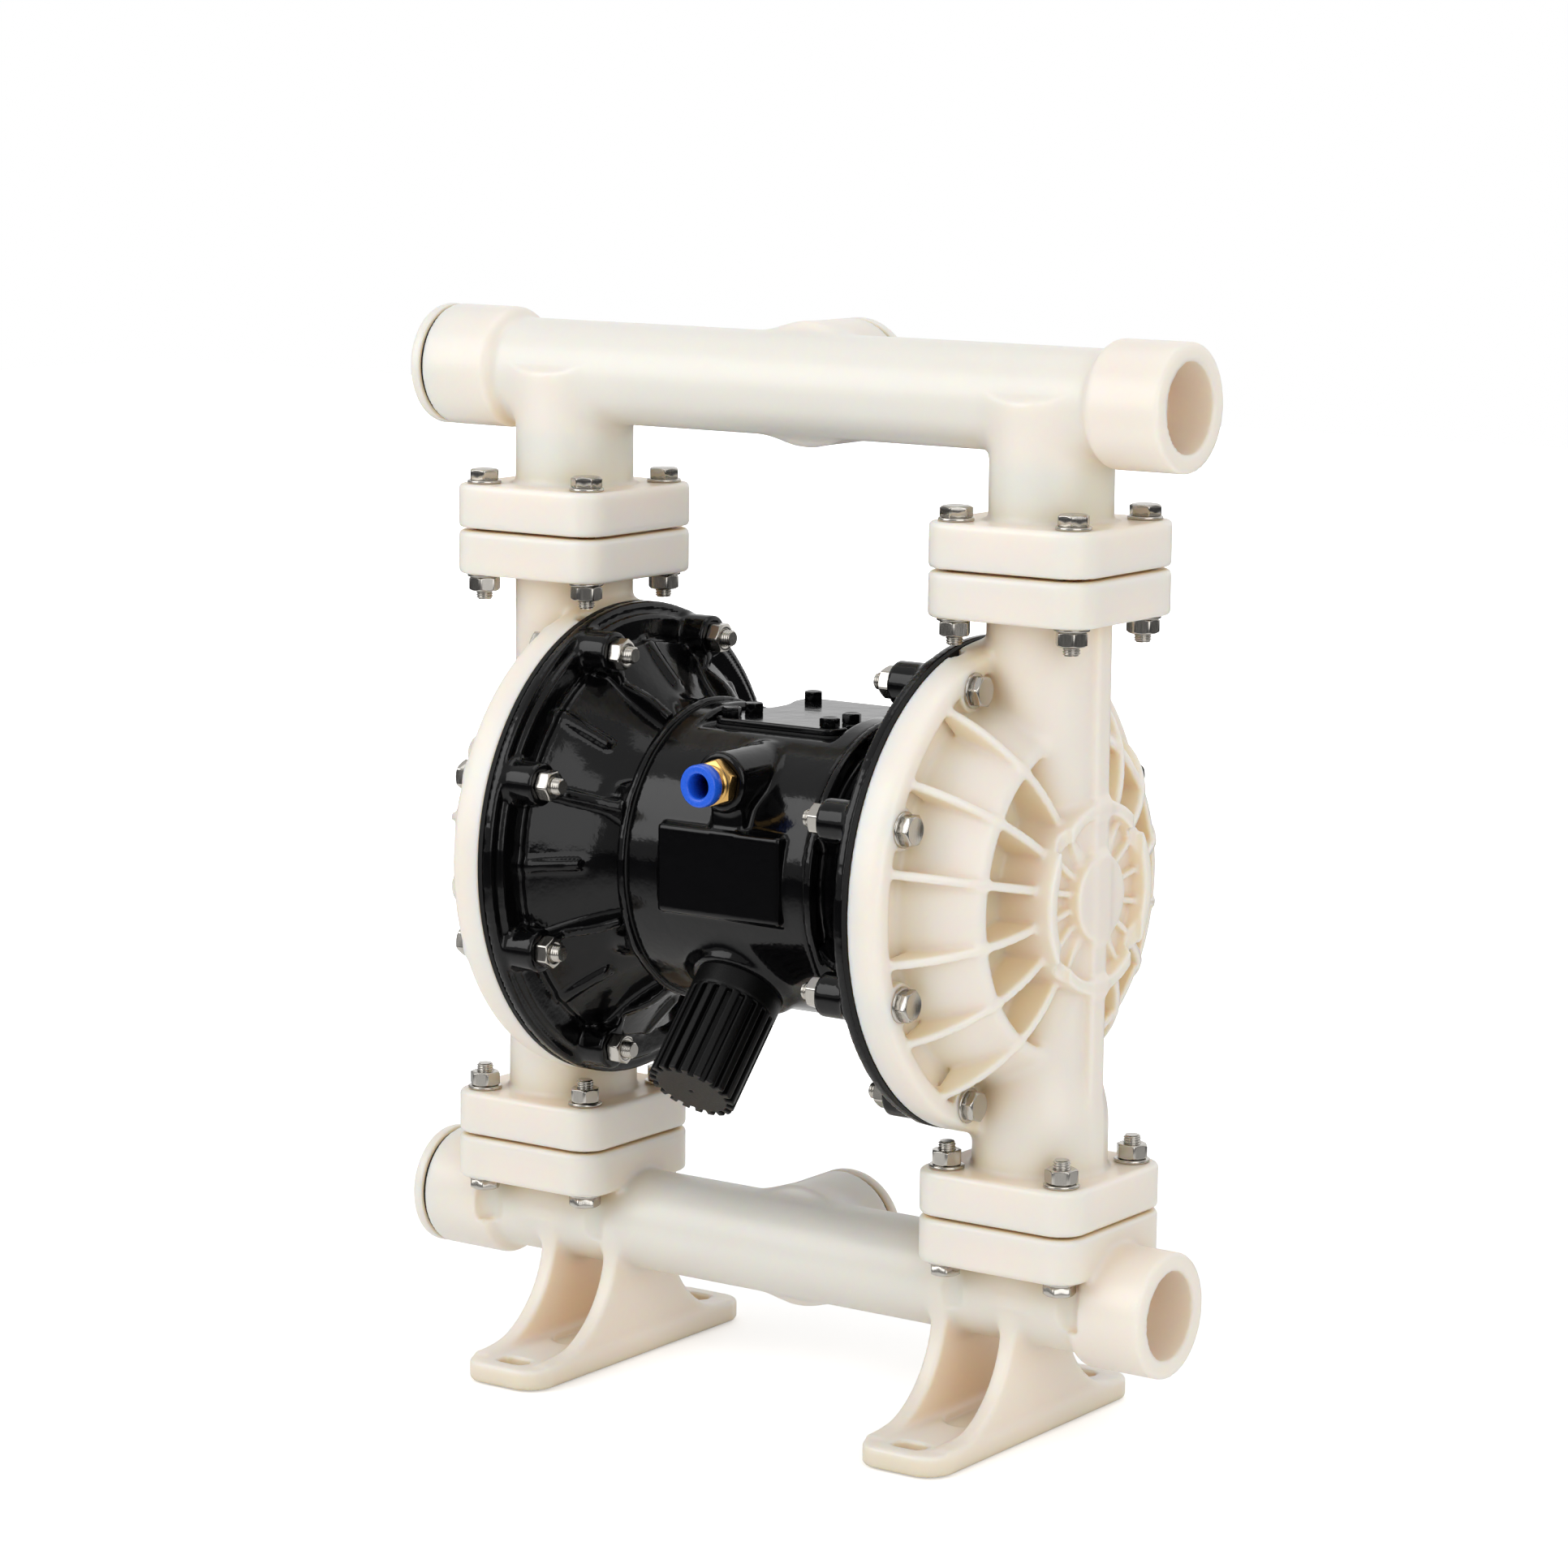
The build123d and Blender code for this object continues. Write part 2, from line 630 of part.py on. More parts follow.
with BuildPart() as center_block:
    with BuildSketch(across(-block_end_x)):
        Circle(block_radius)
    extrude(amount=2 * block_end_x)
    # valve housing at the back and nameplate pad at the front
    with BuildSketch(Plane.XY.offset(axis_height + top_flat_height)):
        with Locations((0, valve_house_back / 2)):
            Rectangle(2 * valve_house_half_length, valve_house_back)
    extrude(amount=-(top_flat_height - valve_bore_z))
    with BuildSketch(Plane(origin=(0, -pad_front, axis_height), x_dir=(1, 0, 0), z_dir=(0, -1, 0))):
        with Locations((pad_offset, (pad_top + pad_bottom) / 2)):
            Rectangle(2 * pad_half_length, pad_top - pad_bottom)
    extrude(amount=-(pad_front - block_radius / 2))
    with BuildSketch(inlet_plane(pad_front - inlet_web_setback)):
        with Locations((0, (pad_top - inlet_z) / 2)):
            Rectangle(inlet_web_width, inlet_z - pad_top)
    extrude(amount=-(pad_front - inlet_web_setback - block_radius / 2))
    with BuildSketch(inlet_plane(inlet_boss_end)):
        Circle(inlet_boss_diameter / 2)
    extrude(amount=-(inlet_boss_end - block_radius / 2))
    # seat for the silencer
    with BuildSketch(along_muffler(muffler_start)):
        Circle(muffler_diameter / 2 + 3)
    extrude(amount=-(muffler_start - block_radius / 2))
    # machined flat under the valve cover
    with BuildSketch(Plane.XY.offset(axis_height + top_flat_height)):
        Rectangle(2 * top_flat_half_length, 2 * valve_house_back)
    extrude(amount=top_flat_drop, mode=Mode.SUBTRACT)
    # plenum under the valve cover, open to the air inlet
    with BuildSketch(Plane.XY.offset(axis_height + plenum_floor)):
        with Locations((0, (plenum_front + plenum_back) / 2)):
            Rectangle(2 * plenum_half_length, plenum_back - plenum_front)
    extrude(amount=top_flat_height - plenum_floor, mode=Mode.SUBTRACT)
    with BuildSketch(inlet_plane(inlet_boss_end)):
        Circle(inlet_thread_diameter / 2)
    extrude(amount=-inlet_thread_depth, mode=Mode.SUBTRACT)
    with BuildSketch(inlet_plane(inlet_boss_end)):
        Circle(tube_bore_diameter / 2)
    extrude(amount=-(inlet_boss_end + plenum_front + 1), mode=Mode.SUBTRACT)
    # shaft, bush, air valve and pilot bores
    with BuildSketch(across(-block_end_x)):
        Circle(shaft_diameter / 2 + hole_clearance)
        with Locations((valve_bore_y, valve_bore_z)):
            Circle(sleeve_diameter / 2)
        with Locations((pilot_y, pilot_z)):
            Circle(pilot_bush_diameter / 2)
    extrude(amount=2 * block_end_x, mode=Mode.SUBTRACT)
    for side in (-1, 1):
        with BuildSketch(across(side * block_end_x)):
            Circle(bush_diameter / 2)
        extrude(amount=-side * bush_length, mode=Mode.SUBTRACT)
        # cored exhaust pocket below the mechanism
        with BuildSketch(across(side * block_end_x)):
            Circle(block_core_outer_radius - cast_boss_diameter / 4)
            Circle(block_core_inner_radius, mode=Mode.SUBTRACT)
            with Locations((0, block_core_top + block_radius)):
                Rectangle(2 * block_radius, 2 * block_radius, mode=Mode.SUBTRACT)
        extrude(amount=-side * block_core_depth, mode=Mode.SUBTRACT)
        with BuildSketch(across(side * block_end_x)):
            with PolarLocations(cast_boss_circle / 2, cast_boss_count, start_angle=cast_boss_start):
                Circle(block_screw_diameter / 2)
        extrude(amount=-side * screw_length_in_block, mode=Mode.SUBTRACT)
    # exhaust port to the silencer, joined to both cored pockets
    with BuildSketch(along_muffler(muffler_start)):
        Circle(muffler_thread_diameter / 2)
    extrude(amount=-muffler_thread_length, mode=Mode.SUBTRACT)
    exhaust_reach = (block_core_inner_radius + block_core_outer_radius) / 2
    exhaust_y = exhaust_reach * muffler_direction[1]
    exhaust_z = exhaust_reach * muffler_direction[2]
    with BuildSketch(across(block_core_depth - block_end_x)):
        with Locations((exhaust_y, exhaust_z)):
            Circle(exhaust_bore_diameter / 2)
    extrude(amount=2 * (block_end_x - block_core_depth), mode=Mode.SUBTRACT)
    with BuildSketch(along_muffler(exhaust_reach)):
        Circle(exhaust_bore_diameter / 2)
    extrude(amount=muffler_start - exhaust_reach, mode=Mode.SUBTRACT)
    # tapped holes for the cover screws
    with BuildSketch(Plane.XY.offset(axis_height + top_flat_height)):
        for row in cover_screw_rows:
            with Locations((-cover_screw_offset, row), (cover_screw_offset, row)):
                Circle(cover_screw_diameter / 2)
    extrude(amount=-cover_screw_depth, mode=Mode.SUBTRACT)

with BuildPart() as center_block_gaskets:
    for side in (-1, 1):
        with BuildSketch(across(side * block_end_x)):
            Circle(block_radius)
            Circle(bush_diameter / 2, mode=Mode.SUBTRACT)
            with Locations((pilot_y, pilot_z)):
                Circle(pilot_bush_diameter / 2, mode=Mode.SUBTRACT)
            with PolarLocations(cast_boss_circle / 2, cast_boss_count, start_angle=cast_boss_start):
                Circle(block_screw_diameter / 2 + hole_clearance, mode=Mode.SUBTRACT)
        extrude(amount=side * gasket_thickness)

parts["center_block"] = center_block
parts["center_block_gaskets"] = center_block_gaskets

# cap screws that hold each air chamber to the block
with BuildPart() as block_screw:
    with BuildSketch(Plane.XY):
        Circle(screw_head_diameter / 2)
    extrude(amount=screw_head_height)
    with BuildSketch(Plane.XY):
        Circle(block_screw_diameter / 2)
    extrude(amount=-(air_depth - screw_head_depth + gasket_thickness + screw_length_in_block - 1))

with BuildPart() as air_chamber_screws:
    for side in (-1, 1):
        seat = Plane(
            origin=(side * (air_face_x - screw_head_depth), 0, axis_height),
            x_dir=(0, 1, 0),
            z_dir=(side, 0, 0),
        )
        turn = cast_boss_start * side
        with Locations(seat):
            with PolarLocations(cast_boss_circle / 2, cast_boss_count, start_angle=turn):
                add(block_screw.part)

parts["air_chamber_screws"] = air_chamber_screws

# ================================================================ valve cover
with BuildPart() as valve_cover_gasket:
    with BuildSketch(Plane.XY.offset(axis_height + top_flat_height)) as cover_outline:
        cover_half = cover_screw_offset + cover_ear_radius
        cover_front = cover_screw_rows[0] - cover_ear_radius
        cover_back = cover_screw_rows[2] + cover_ear_radius
        with Locations((0, (cover_front + cover_back) / 2)):
            RectangleRounded(2 * cover_half, cover_back - cover_front, cover_ear_radius - 0.5)
        # hollows between the screw ears
        hollow = cover_half - cover_screw_offset - cover_margin
        half_span = (cover_screw_rows[2] - cover_screw_rows[1]) / 2 - cover_ear_radius
        hollow_radius = (half_span**2 + hollow**2) / (2 * hollow)
        for side in (-1, 1):
            with Locations((side * (cover_half - hollow + hollow_radius), cover_screw_rows[2] / 2)):
                Circle(hollow_radius, mode=Mode.SUBTRACT)
            with Locations((side * cover_half, (cover_screw_rows[0] + cover_screw_rows[1]) / 2)):
                Circle(cover_ear_radius / 2, mode=Mode.SUBTRACT)
        for row in cover_screw_rows:
            with Locations((-cover_screw_offset, row), (cover_screw_offset, row)):
                Circle(cover_screw_diameter / 2 + slip_clearance, mode=Mode.SUBTRACT)
    extrude(amount=gasket_thickness)
    with BuildSketch(Plane.XY.offset(axis_height + top_flat_height)):
        with Locations((0, (plenum_front + plenum_back) / 2)):
            Rectangle(2 * plenum_half_length, plenum_back - plenum_front)
    extrude(amount=gasket_thickness, mode=Mode.SUBTRACT)

with BuildPart() as valve_cover:
    extrude(cover_outline.sketch.moved(Location((0, 0, gasket_thickness))), amount=cover_thickness)

with BuildPart() as valve_cover_screws:
    cover_top = axis_height + top_flat_height + gasket_thickness + cover_thickness
    with BuildSketch(Plane.XY.offset(cover_top)):
        for row in cover_screw_rows:
            with Locations((-cover_screw_offset, row), (cover_screw_offset, row)):
                RegularPolygon(cover_screw_flats / 2, 6, major_radius=False)
    extrude(amount=cover_screw_head)
    with BuildSketch(Plane.XY.offset(cover_top)):
        for row in cover_screw_rows:
            with Locations((-cover_screw_offset, row), (cover_screw_offset, row)):
                Circle(cover_screw_diameter / 2)
    extrude(amount=-(cover_screw_depth - 1 + gasket_thickness + cover_thickness))

parts["valve_cover_gasket"] = valve_cover_gasket
parts["valve_cover"] = valve_cover
parts["valve_cover_screws"] = valve_cover_screws

# ================================================================ air valve and pilot
with BuildPart() as air_valve_sleeve:
    with BuildSketch(across(-sleeve_length / 2)):
        with Locations((valve_bore_y, valve_bore_z)):
            Circle(sleeve_diameter / 2)
            Circle(spool_diameter / 2 + running_clearance, mode=Mode.SUBTRACT)
    extrude(amount=sleeve_length)
    # three ports up into the plenum
    with BuildSketch(Plane.XY.offset(axis_height + valve_bore_z)):
        with Locations(*[(n * sleeve_port_pitch, valve_bore_y) for n in (-1, 0, 1)]):
            Circle(sleeve_port_diameter / 2)
    extrude(amount=sleeve_diameter / 2, mode=Mode.SUBTRACT)

with BuildPart() as valve_end_caps:
    for side in (-1, 1):
        with BuildSketch(across(side * block_end_x)):
            with Locations((valve_bore_y, valve_bore_z)):
                Circle(sleeve_diameter / 2)
        extrude(amount=-side * (block_end_x - sleeve_length / 2))

with BuildPart() as air_valve_spool:
    with BuildSketch(across(-spool_length / 2)):
        with Locations((valve_bore_y, valve_bore_z)):
            Circle(spool_diameter / 2)
    extrude(amount=spool_length)
    # two waists that join the ports in turn
    for side in (-1, 1):
        with BuildSketch(across(side * sleeve_port_pitch / 2 - sleeve_port_diameter / 2)):
            with Locations((valve_bore_y, valve_bore_z)):
                Circle(spool_diameter / 2)
                Circle(spool_groove_diameter / 2, mode=Mode.SUBTRACT)
        extrude(amount=sleeve_port_diameter, mode=Mode.SUBTRACT)

with BuildPart() as pilot_bushes:
    for side in (-1, 1):
        with BuildSketch(across(side * block_end_x)):
            with Locations((pilot_y, pilot_z)):
                Circle(pilot_bush_diameter / 2)
                Circle(pilot_diameter / 2 + running_clearance, mode=Mode.SUBTRACT)
        extrude(amount=-side * bush_length)

# the inner plate meets the pin only at the end of the stroke
pilot_end_x = diaphragm_x - diaphragm_thickness / 2 - inner_plate_thickness - stroke - seat_gap
with BuildPart() as pilot_pin:
    with BuildSketch(across(-pilot_end_x)):
        with Locations((pilot_y, pilot_z)):
            Circle(pilot_diameter / 2)
    extrude(amount=2 * pilot_end_x)

parts["air_valve_sleeve"] = air_valve_sleeve
parts["valve_end_caps"] = valve_end_caps
parts["air_valve_spool"] = air_valve_spool
parts["pilot_bushes"] = pilot_bushes
parts["pilot_pin"] = pilot_pin

# ================================================================ shaft, plates and diaphragms
inner_plate_x = diaphragm_x - diaphragm_thickness / 2 - inner_plate_thickness
outer_plate_x = diaphragm_x + diaphragm_thickness / 2
with BuildPart() as main_shaft:
    with BuildSketch(across(-inner_plate_x)):
        Circle(shaft_diameter / 2)
    extrude(amount=2 * inner_plate_x)
    with BuildSketch(across(-(outer_plate_x + outer_plate_thickness))):
        Circle(shaft_end_diameter / 2)
    extrude(amount=2 * (outer_plate_x + outer_plate_thickness))

with BuildPart() as shaft_bushes:
    for side in (-1, 1):
        with BuildSketch(across(side * (block_end_x - shaft_seal_width))):
            Circle(bush_diameter / 2)
            Circle(shaft_diameter / 2 + running_clearance, mode=Mode.SUBTRACT)
        extrude(amount=-side * (bush_length - shaft_seal_width))

with BuildPart() as shaft_seals:
    for side in (-1, 1):
        with BuildSketch(across(side * block_end_x)):
            Circle(bush_diameter / 2)
            Circle(shaft_diameter / 2 + running_clearance, mode=Mode.SUBTRACT)
        extrude(amount=-side * shaft_seal_width)

with BuildPart() as inner_diaphragm_plates:
    for side in (-1, 1):
        with BuildSketch(across(side * inner_plate_x)):
            Circle(clamp_plate_radius)
            Circle(shaft_end_diameter / 2, mode=Mode.SUBTRACT)
        extrude(amount=side * inner_plate_thickness)

with BuildPart() as outer_diaphragm_plates:
    for side in (-1, 1):
        with BuildSketch(across(side * outer_plate_x)):
            Circle(clamp_plate_radius)
        extrude(amount=side * outer_plate_thickness, taper=20)
        with BuildSketch(across(side * (outer_plate_x + outer_plate_thickness - 1))):
            Circle(plate_nut_radius)
        extrude(amount=side * (plate_nut_height + 1))
        with BuildSketch(across(side * outer_plate_x)):
            Circle(shaft_end_diameter / 2)
        extrude(amount=side * outer_plate_thickness, mode=Mode.SUBTRACT)

with BuildPart() as right_diaphragm:
    with BuildSketch(outward_profile(diaphragm_x)):
        rim = clamped_thickness / 2
        half = diaphragm_thickness / 2
        roll_outer = cavity_radius - 1
        roll_inner = clamp_plate_radius + 2
        roll_middle = (roll_outer + roll_inner) / 2
        with BuildLine():
            Polyline((-rim, roll_outer - 1), (-rim, clamp_radius), (rim, clamp_radius), (rim, roll_outer))
            ThreePointArc((rim, roll_outer), (rim + roll_rise, roll_middle), (half, roll_inner))
            Polyline(
                (half, roll_inner),
                (half, shaft_end_diameter / 2 + seat_gap),
                (-half, shaft_end_diameter / 2 + seat_gap),
                (-half, roll_inner + 1),
            )
            ThreePointArc(
                (-half, roll_inner + 1),
                (rim + roll_rise - diaphragm_thickness, roll_middle),
                (-rim, roll_outer - 1),
            )
        make_face()
    revolve(axis=pump_axis)
    with BuildSketch(across(joint_offset - clamped_thickness)):
        with PolarLocations(bolt_circle_diameter / 2, clamp_bolt_count, start_angle=bolt_angles):
            Circle(bolt_diameter / 2 + hole_clearance)
    extrude(amount=clamped_thickness, mode=Mode.SUBTRACT)

with BuildPart() as left_diaphragm:
    mirror(right_diaphragm.part, about=Plane.YZ)

parts["main_shaft"] = main_shaft
parts["shaft_bushes"] = shaft_bushes
parts["shaft_seals"] = shaft_seals
parts["inner_diaphragm_plates"] = inner_diaphragm_plates
parts["outer_diaphragm_plates"] = outer_diaphragm_plates
parts["right_diaphragm"] = right_diaphragm
parts["left_diaphragm"] = left_diaphragm

# ================================================================ check valves
with BuildPart() as valve_seat:
    with BuildSketch(Plane.XZ):
        mouth_depth = (seat_mouth_diameter - seat_throat_diameter) / 2
        with BuildLine():
            Polyline(
                (seat_throat_diameter / 2, -seat_half_height),
                (seat_diameter / 2, -seat_half_height),
                (seat_diameter / 2, seat_half_height),
                (seat_mouth_diameter / 2, seat_half_height),
                (seat_throat_diameter / 2, seat_half_height - mouth_depth),
                close=True,
            )
        make_face()
    revolve(axis=Axis.Z)
    for side in (-1, 1):
        with BuildSketch(Plane.XY.offset(side * seat_half_height)):
            Circle(seal_outer_diameter / 2)
            Circle(seal_inner_diameter / 2, mode=Mode.SUBTRACT)
        extrude(amount=-side * seal_groove_depth, mode=Mode.SUBTRACT)

with BuildPart() as seat_seal_pair:
    for side in (-1, 1):
        with BuildSketch(Plane.XY.offset(side * (seat_half_height - seal_groove_depth))):
            Circle(seal_outer_diameter / 2)
            Circle(seal_inner_diameter / 2, mode=Mode.SUBTRACT)
        extrude(amount=side * (seal_groove_depth + seat_face_gap))

with BuildPart() as discharge_valve_seats:
    with Locations(*[(x, 0, discharge_joint_z) for x in column_sides]):
        add(valve_seat.part)

with BuildPart() as suction_valve_seats:
    with Locations(*[(x, 0, suction_joint_z) for x in column_sides]):
        add(valve_seat.part)

with BuildPart() as valve_seat_seals:
    with Locations(*[(x, 0, z) for x in column_sides for z in joint_heights]):
        add(seat_seal_pair.part)

with BuildPart() as right_discharge_ball:
    with Locations((column_offset, 0, discharge_joint_z + ball_rest_height)):
        Sphere(ball_radius)

with BuildPart() as left_discharge_ball:
    with Locations((-column_offset, 0, discharge_joint_z + ball_rest_height)):
        Sphere(ball_radius)

with BuildPart() as right_suction_ball:
    with Locations((column_offset, 0, suction_joint_z + ball_rest_height)):
        Sphere(ball_radius)

with BuildPart() as left_suction_ball:
    with Locations((-column_offset, 0, suction_joint_z + ball_rest_height)):
        Sphere(ball_radius)

parts["discharge_valve_seats"] = discharge_valve_seats
parts["suction_valve_seats"] = suction_valve_seats
parts["valve_seat_seals"] = valve_seat_seals
parts["right_discharge_ball"] = right_discharge_ball
parts["left_discharge_ball"] = left_discharge_ball
parts["right_suction_ball"] = right_suction_ball
parts["left_suction_ball"] = left_suction_ball


# ================================================================ manifolds
def pipe_plane(x, height):
    """Plane square to a manifold pipe: local x is +Y, local y is up."""
    return Plane(origin=(x, 0, height), x_dir=(0, 1, 0), z_dir=(1, 0, 0))


def back_plane(y, height):
    """Plane square to a manifold's rear stub, looking out of the back."""
    return Plane(origin=(0, y, height), x_dir=(-1, 0, 0), z_dir=(0, 1, 0))


front_profile = Plane(origin=(0, 0, 0), x_dir=(1, 0, 0), z_dir=(0, 0, -1))

# the outside of one pipe with its end bosses and rear stub, about the X axis
with BuildPart() as pipe_outside:
    with BuildSketch(front_profile):
        with BuildLine():
            Polyline(
                (-port_boss_end, 0),
                (-port_boss_end, port_boss_diameter / 2),
                (-port_boss_start, port_boss_diameter / 2),
                (-port_boss_start + shoulder_length, pipe_diameter / 2),
                (port_boss_start - shoulder_length, pipe_diameter / 2),
                (port_boss_start, port_boss_diameter / 2),
                (port_boss_end, port_boss_diameter / 2),
                (port_boss_end, 0),
                close=True,
            )
        make_face()
    revolve(axis=Axis.X)
    with BuildSketch(back_plane(0, 0)):
        Circle(port_boss_diameter / 2)
    extrude(amount=back_boss_end)

# the liquid's space inside the same pipe
with BuildPart() as pipe_inside:
    with BuildSketch(front_profile):
        with BuildLine():
            socket_floor = port_boss_end - port_bore_depth
            Polyline(
                (-port_boss_end, 0),
                (-port_boss_end, port_bore_diameter / 2),
                (-socket_floor, port_bore_diameter / 2),
                (-socket_floor, pipe_bore_diameter / 2),
                (socket_floor, pipe_bore_diameter / 2),
                (socket_floor, port_bore_diameter / 2),
                (port_boss_end, port_bore_diameter / 2),
                (port_boss_end, 0),
                close=True,
            )
        make_face()
    revolve(axis=Axis.X)
    with BuildSketch(back_plane(0, 0)):
        Circle(pipe_bore_diameter / 2)
    extrude(amount=back_boss_end)

with BuildPart() as discharge_manifold:
    flange_base = discharge_joint_z + flange_gap / 2
    add(pipe_outside.part.moved(Location((0, 0, discharge_axis_z))))
    with BuildSketch(Plane.XY.offset(flange_base)):
        with Locations(*[(x, 0) for x in column_sides]):
            RectangleRounded(flange_width, flange_width, flange_corner)
    extrude(amount=flange_thickness)
    with BuildSketch(Plane.XY.offset(flange_base)):
        with Locations(*[(x, 0) for x in column_sides]):
            Circle(neck_diameter / 2)
    extrude(amount=discharge_axis_z - flange_base)
    add(pipe_inside.part.moved(Location((0, 0, discharge_axis_z))), mode=Mode.SUBTRACT)
    # passages, cage bores with their ball cages, and seat recesses
    with BuildSketch(Plane.XY.offset(flange_base)):
        with Locations(*[(x, 0) for x in column_sides]):
            Circle(passage_diameter / 2)
    extrude(amount=discharge_axis_z - flange_base, mode=Mode.SUBTRACT)
    with BuildSketch(Plane.XY.offset(flange_base)):
        with Locations(*[(x, 0) for x in column_sides]):
            Circle(cage_bore_diameter / 2)
    extrude(amount=cage_height - flange_gap / 2, mode=Mode.SUBTRACT)
    with Locations(*[(x, 0, discharge_joint_z) for x in column_sides]):
        add(ball_cage.part)
    with BuildSketch(Plane.XY.offset(flange_base)):
        with Locations(*[(x, 0) for x in column_sides]):
            Circle(seat_diameter / 2 + slip_clearance)
    extrude(amount=seat_recess_depth, mode=Mode.SUBTRACT)
    with BuildSketch(Plane.XY.offset(flange_base)):
        with Locations(*[(x, 0) for x in column_sides]):
            with GridLocations(flange_bolt_pitch, flange_bolt_pitch, 2, 2):
                Circle(bolt_diameter / 2 + hole_clearance)
    extrude(amount=flange_thickness, mode=Mode.SUBTRACT)

with BuildPart() as suction_manifold:
    flange_top = suction_joint_z - flange_gap / 2
    add(pipe_outside.part.moved(Location((0, 0, suction_axis_z))))
    with BuildSketch(Plane.XY.offset(flange_top)):
        with Locations(*[(x, 0) for x in column_sides]):
            RectangleRounded(flange_width, flange_width, flange_corner)
    extrude(amount=-flange_thickness)
    # feet: a plate under two curved webs
    for side in (-1, 1):
        with BuildSketch(Plane.XY):
            with Locations((side * foot_offset, 0)):
                RectangleRounded(foot_width, foot_length, foot_corner)
        extrude(amount=foot_thickness)
        for web in (-1, 1):
            web_x = side * foot_offset + web * (foot_width - foot_web_thickness) / 2
            with BuildSketch(pipe_plane(web_x, 0)):
                root = foot_thickness + foot_web_radius
                stem = foot_stem_width / 2
                toe = stem + foot_web_radius
                with BuildLine():
                    Polyline((-toe, foot_thickness), (toe, foot_thickness))
                    RadiusArc((toe, foot_thickness), (stem, root), foot_web_radius)
                    Polyline((stem, root), (stem, suction_axis_z), (-stem, suction_axis_z), (-stem, root))
                    RadiusArc((-stem, root), (-toe, foot_thickness), foot_web_radius)
                make_face()
            extrude(amount=foot_web_thickness / 2, both=True)
        # lightening recess between the webs, and the slots for the floor bolts
        with BuildSketch(Plane.XY.offset(foot_thickness)):
            with Locations((side * foot_offset, 0)):
                SlotOverall(foot_recess_length, foot_recess_width, rotation=90)
        extrude(amount=-foot_recess_depth, mode=Mode.SUBTRACT)
        with BuildSketch(Plane.XY):
            with Locations(*[(side * foot_offset, y) for y in (-foot_slot_pitch / 2, foot_slot_pitch / 2)]):
                SlotOverall(foot_slot_length, foot_slot_width)
        extrude(amount=foot_thickness, mode=Mode.SUBTRACT)
    add(pipe_inside.part.moved(Location((0, 0, suction_axis_z))), mode=Mode.SUBTRACT)
    # passages, seat recesses, bolt holes and the pockets that clear the bolt heads
    with BuildSketch(Plane.XY.offset(flange_top)):
        with Locations(*[(x, 0) for x in column_sides]):
            Circle(passage_diameter / 2)
    extrude(amount=suction_axis_z - flange_top, mode=Mode.SUBTRACT)
    with BuildSketch(Plane.XY.offset(flange_top)):
        with Locations(*[(x, 0) for x in column_sides]):
            Circle(seat_diameter / 2 + slip_clearance)
    extrude(amount=-seat_recess_depth, mode=Mode.SUBTRACT)
    with BuildSketch(Plane.XY.offset(flange_top)):
        with Locations(*[(x, 0) for x in column_sides]):
            with GridLocations(flange_bolt_pitch, flange_bolt_pitch, 2, 2):
                Circle(bolt_diameter / 2 + hole_clearance)
    extrude(amount=-flange_thickness, mode=Mode.SUBTRACT)
    with BuildSketch(Plane.XY.offset(flange_top - flange_thickness)):
        with Locations(*[(x, 0) for x in column_sides]):
            with GridLocations(flange_bolt_pitch, flange_bolt_pitch, 2, 2):
                Circle(washer_diameter / 2 + hole_clearance)
    extrude(amount=-(washer_thickness + bolt_head_height + hole_clearance), mode=Mode.SUBTRACT)

parts["discharge_manifold"] = discharge_manifold
parts["suction_manifold"] = suction_manifold

# ================================================================ port plugs
with BuildPart() as side_port_plugs:
    for height in (discharge_axis_z, suction_axis_z):
        with BuildSketch(pipe_plane(-port_boss_end - plug_gap, height)):
            Circle(port_boss_diameter / 2)
        extrude(amount=-plug_flange_thickness)
        with BuildSketch(pipe_plane(-port_boss_end - plug_gap, height)):
            Circle(port_bore_diameter / 2 - slip_clearance)
        extrude(amount=plug_gap + plug_spigot_length)

with BuildPart() as back_port_plugs:
    for height in (discharge_axis_z, suction_axis_z):
        with BuildSketch(back_plane(back_boss_end + plug_gap, height)):
            Circle(port_boss_diameter / 2)
        extrude(amount=plug_flange_thickness)
        with BuildSketch(back_plane(back_boss_end + plug_gap, height)):
            Circle(pipe_bore_diameter / 2 - slip_clearance)
        extrude(amount=-plug_gap - plug_spigot_length / 2)

with BuildPart() as port_plug_rings:
    for height in (discharge_axis_z, suction_axis_z):
        for seat in (
            pipe_plane(-port_boss_end - plug_gap, height),
            back_plane(back_boss_end, height),
        ):
            with BuildSketch(seat):
                Circle(plug_ring_outer_diameter / 2)
                Circle(port_bore_diameter / 2, mode=Mode.SUBTRACT)
            extrude(amount=plug_gap)

parts["side_port_plugs"] = side_port_plugs
parts["back_port_plugs"] = back_port_plugs
parts["port_plug_rings"] = port_plug_rings


# ================================================================ M10 bolts and nuts
def hex_bolt(length):
    """Hexagon bolt over a washer that lies on z = 0, with its shank running down."""
    with BuildPart() as bolt:
        with BuildSketch(Plane.XY):
            Circle(washer_diameter / 2)
        extrude(amount=washer_thickness)
        with BuildSketch(Plane.XY.offset(washer_thickness)):
            RegularPolygon(bolt_head_flats / 2, 6, major_radius=False)
        extrude(amount=bolt_head_height)
        with BuildSketch(Plane.XY.offset(washer_thickness)):
            Circle(bolt_diameter / 2)
        extrude(amount=-length)
    return bolt.part


with BuildPart() as hex_nut:
    with BuildSketch(Plane.XY):
        RegularPolygon(bolt_head_flats / 2, 6, major_radius=False)
        Circle(bolt_diameter / 2 + slip_clearance, mode=Mode.SUBTRACT)
    extrude(amount=nut_height)

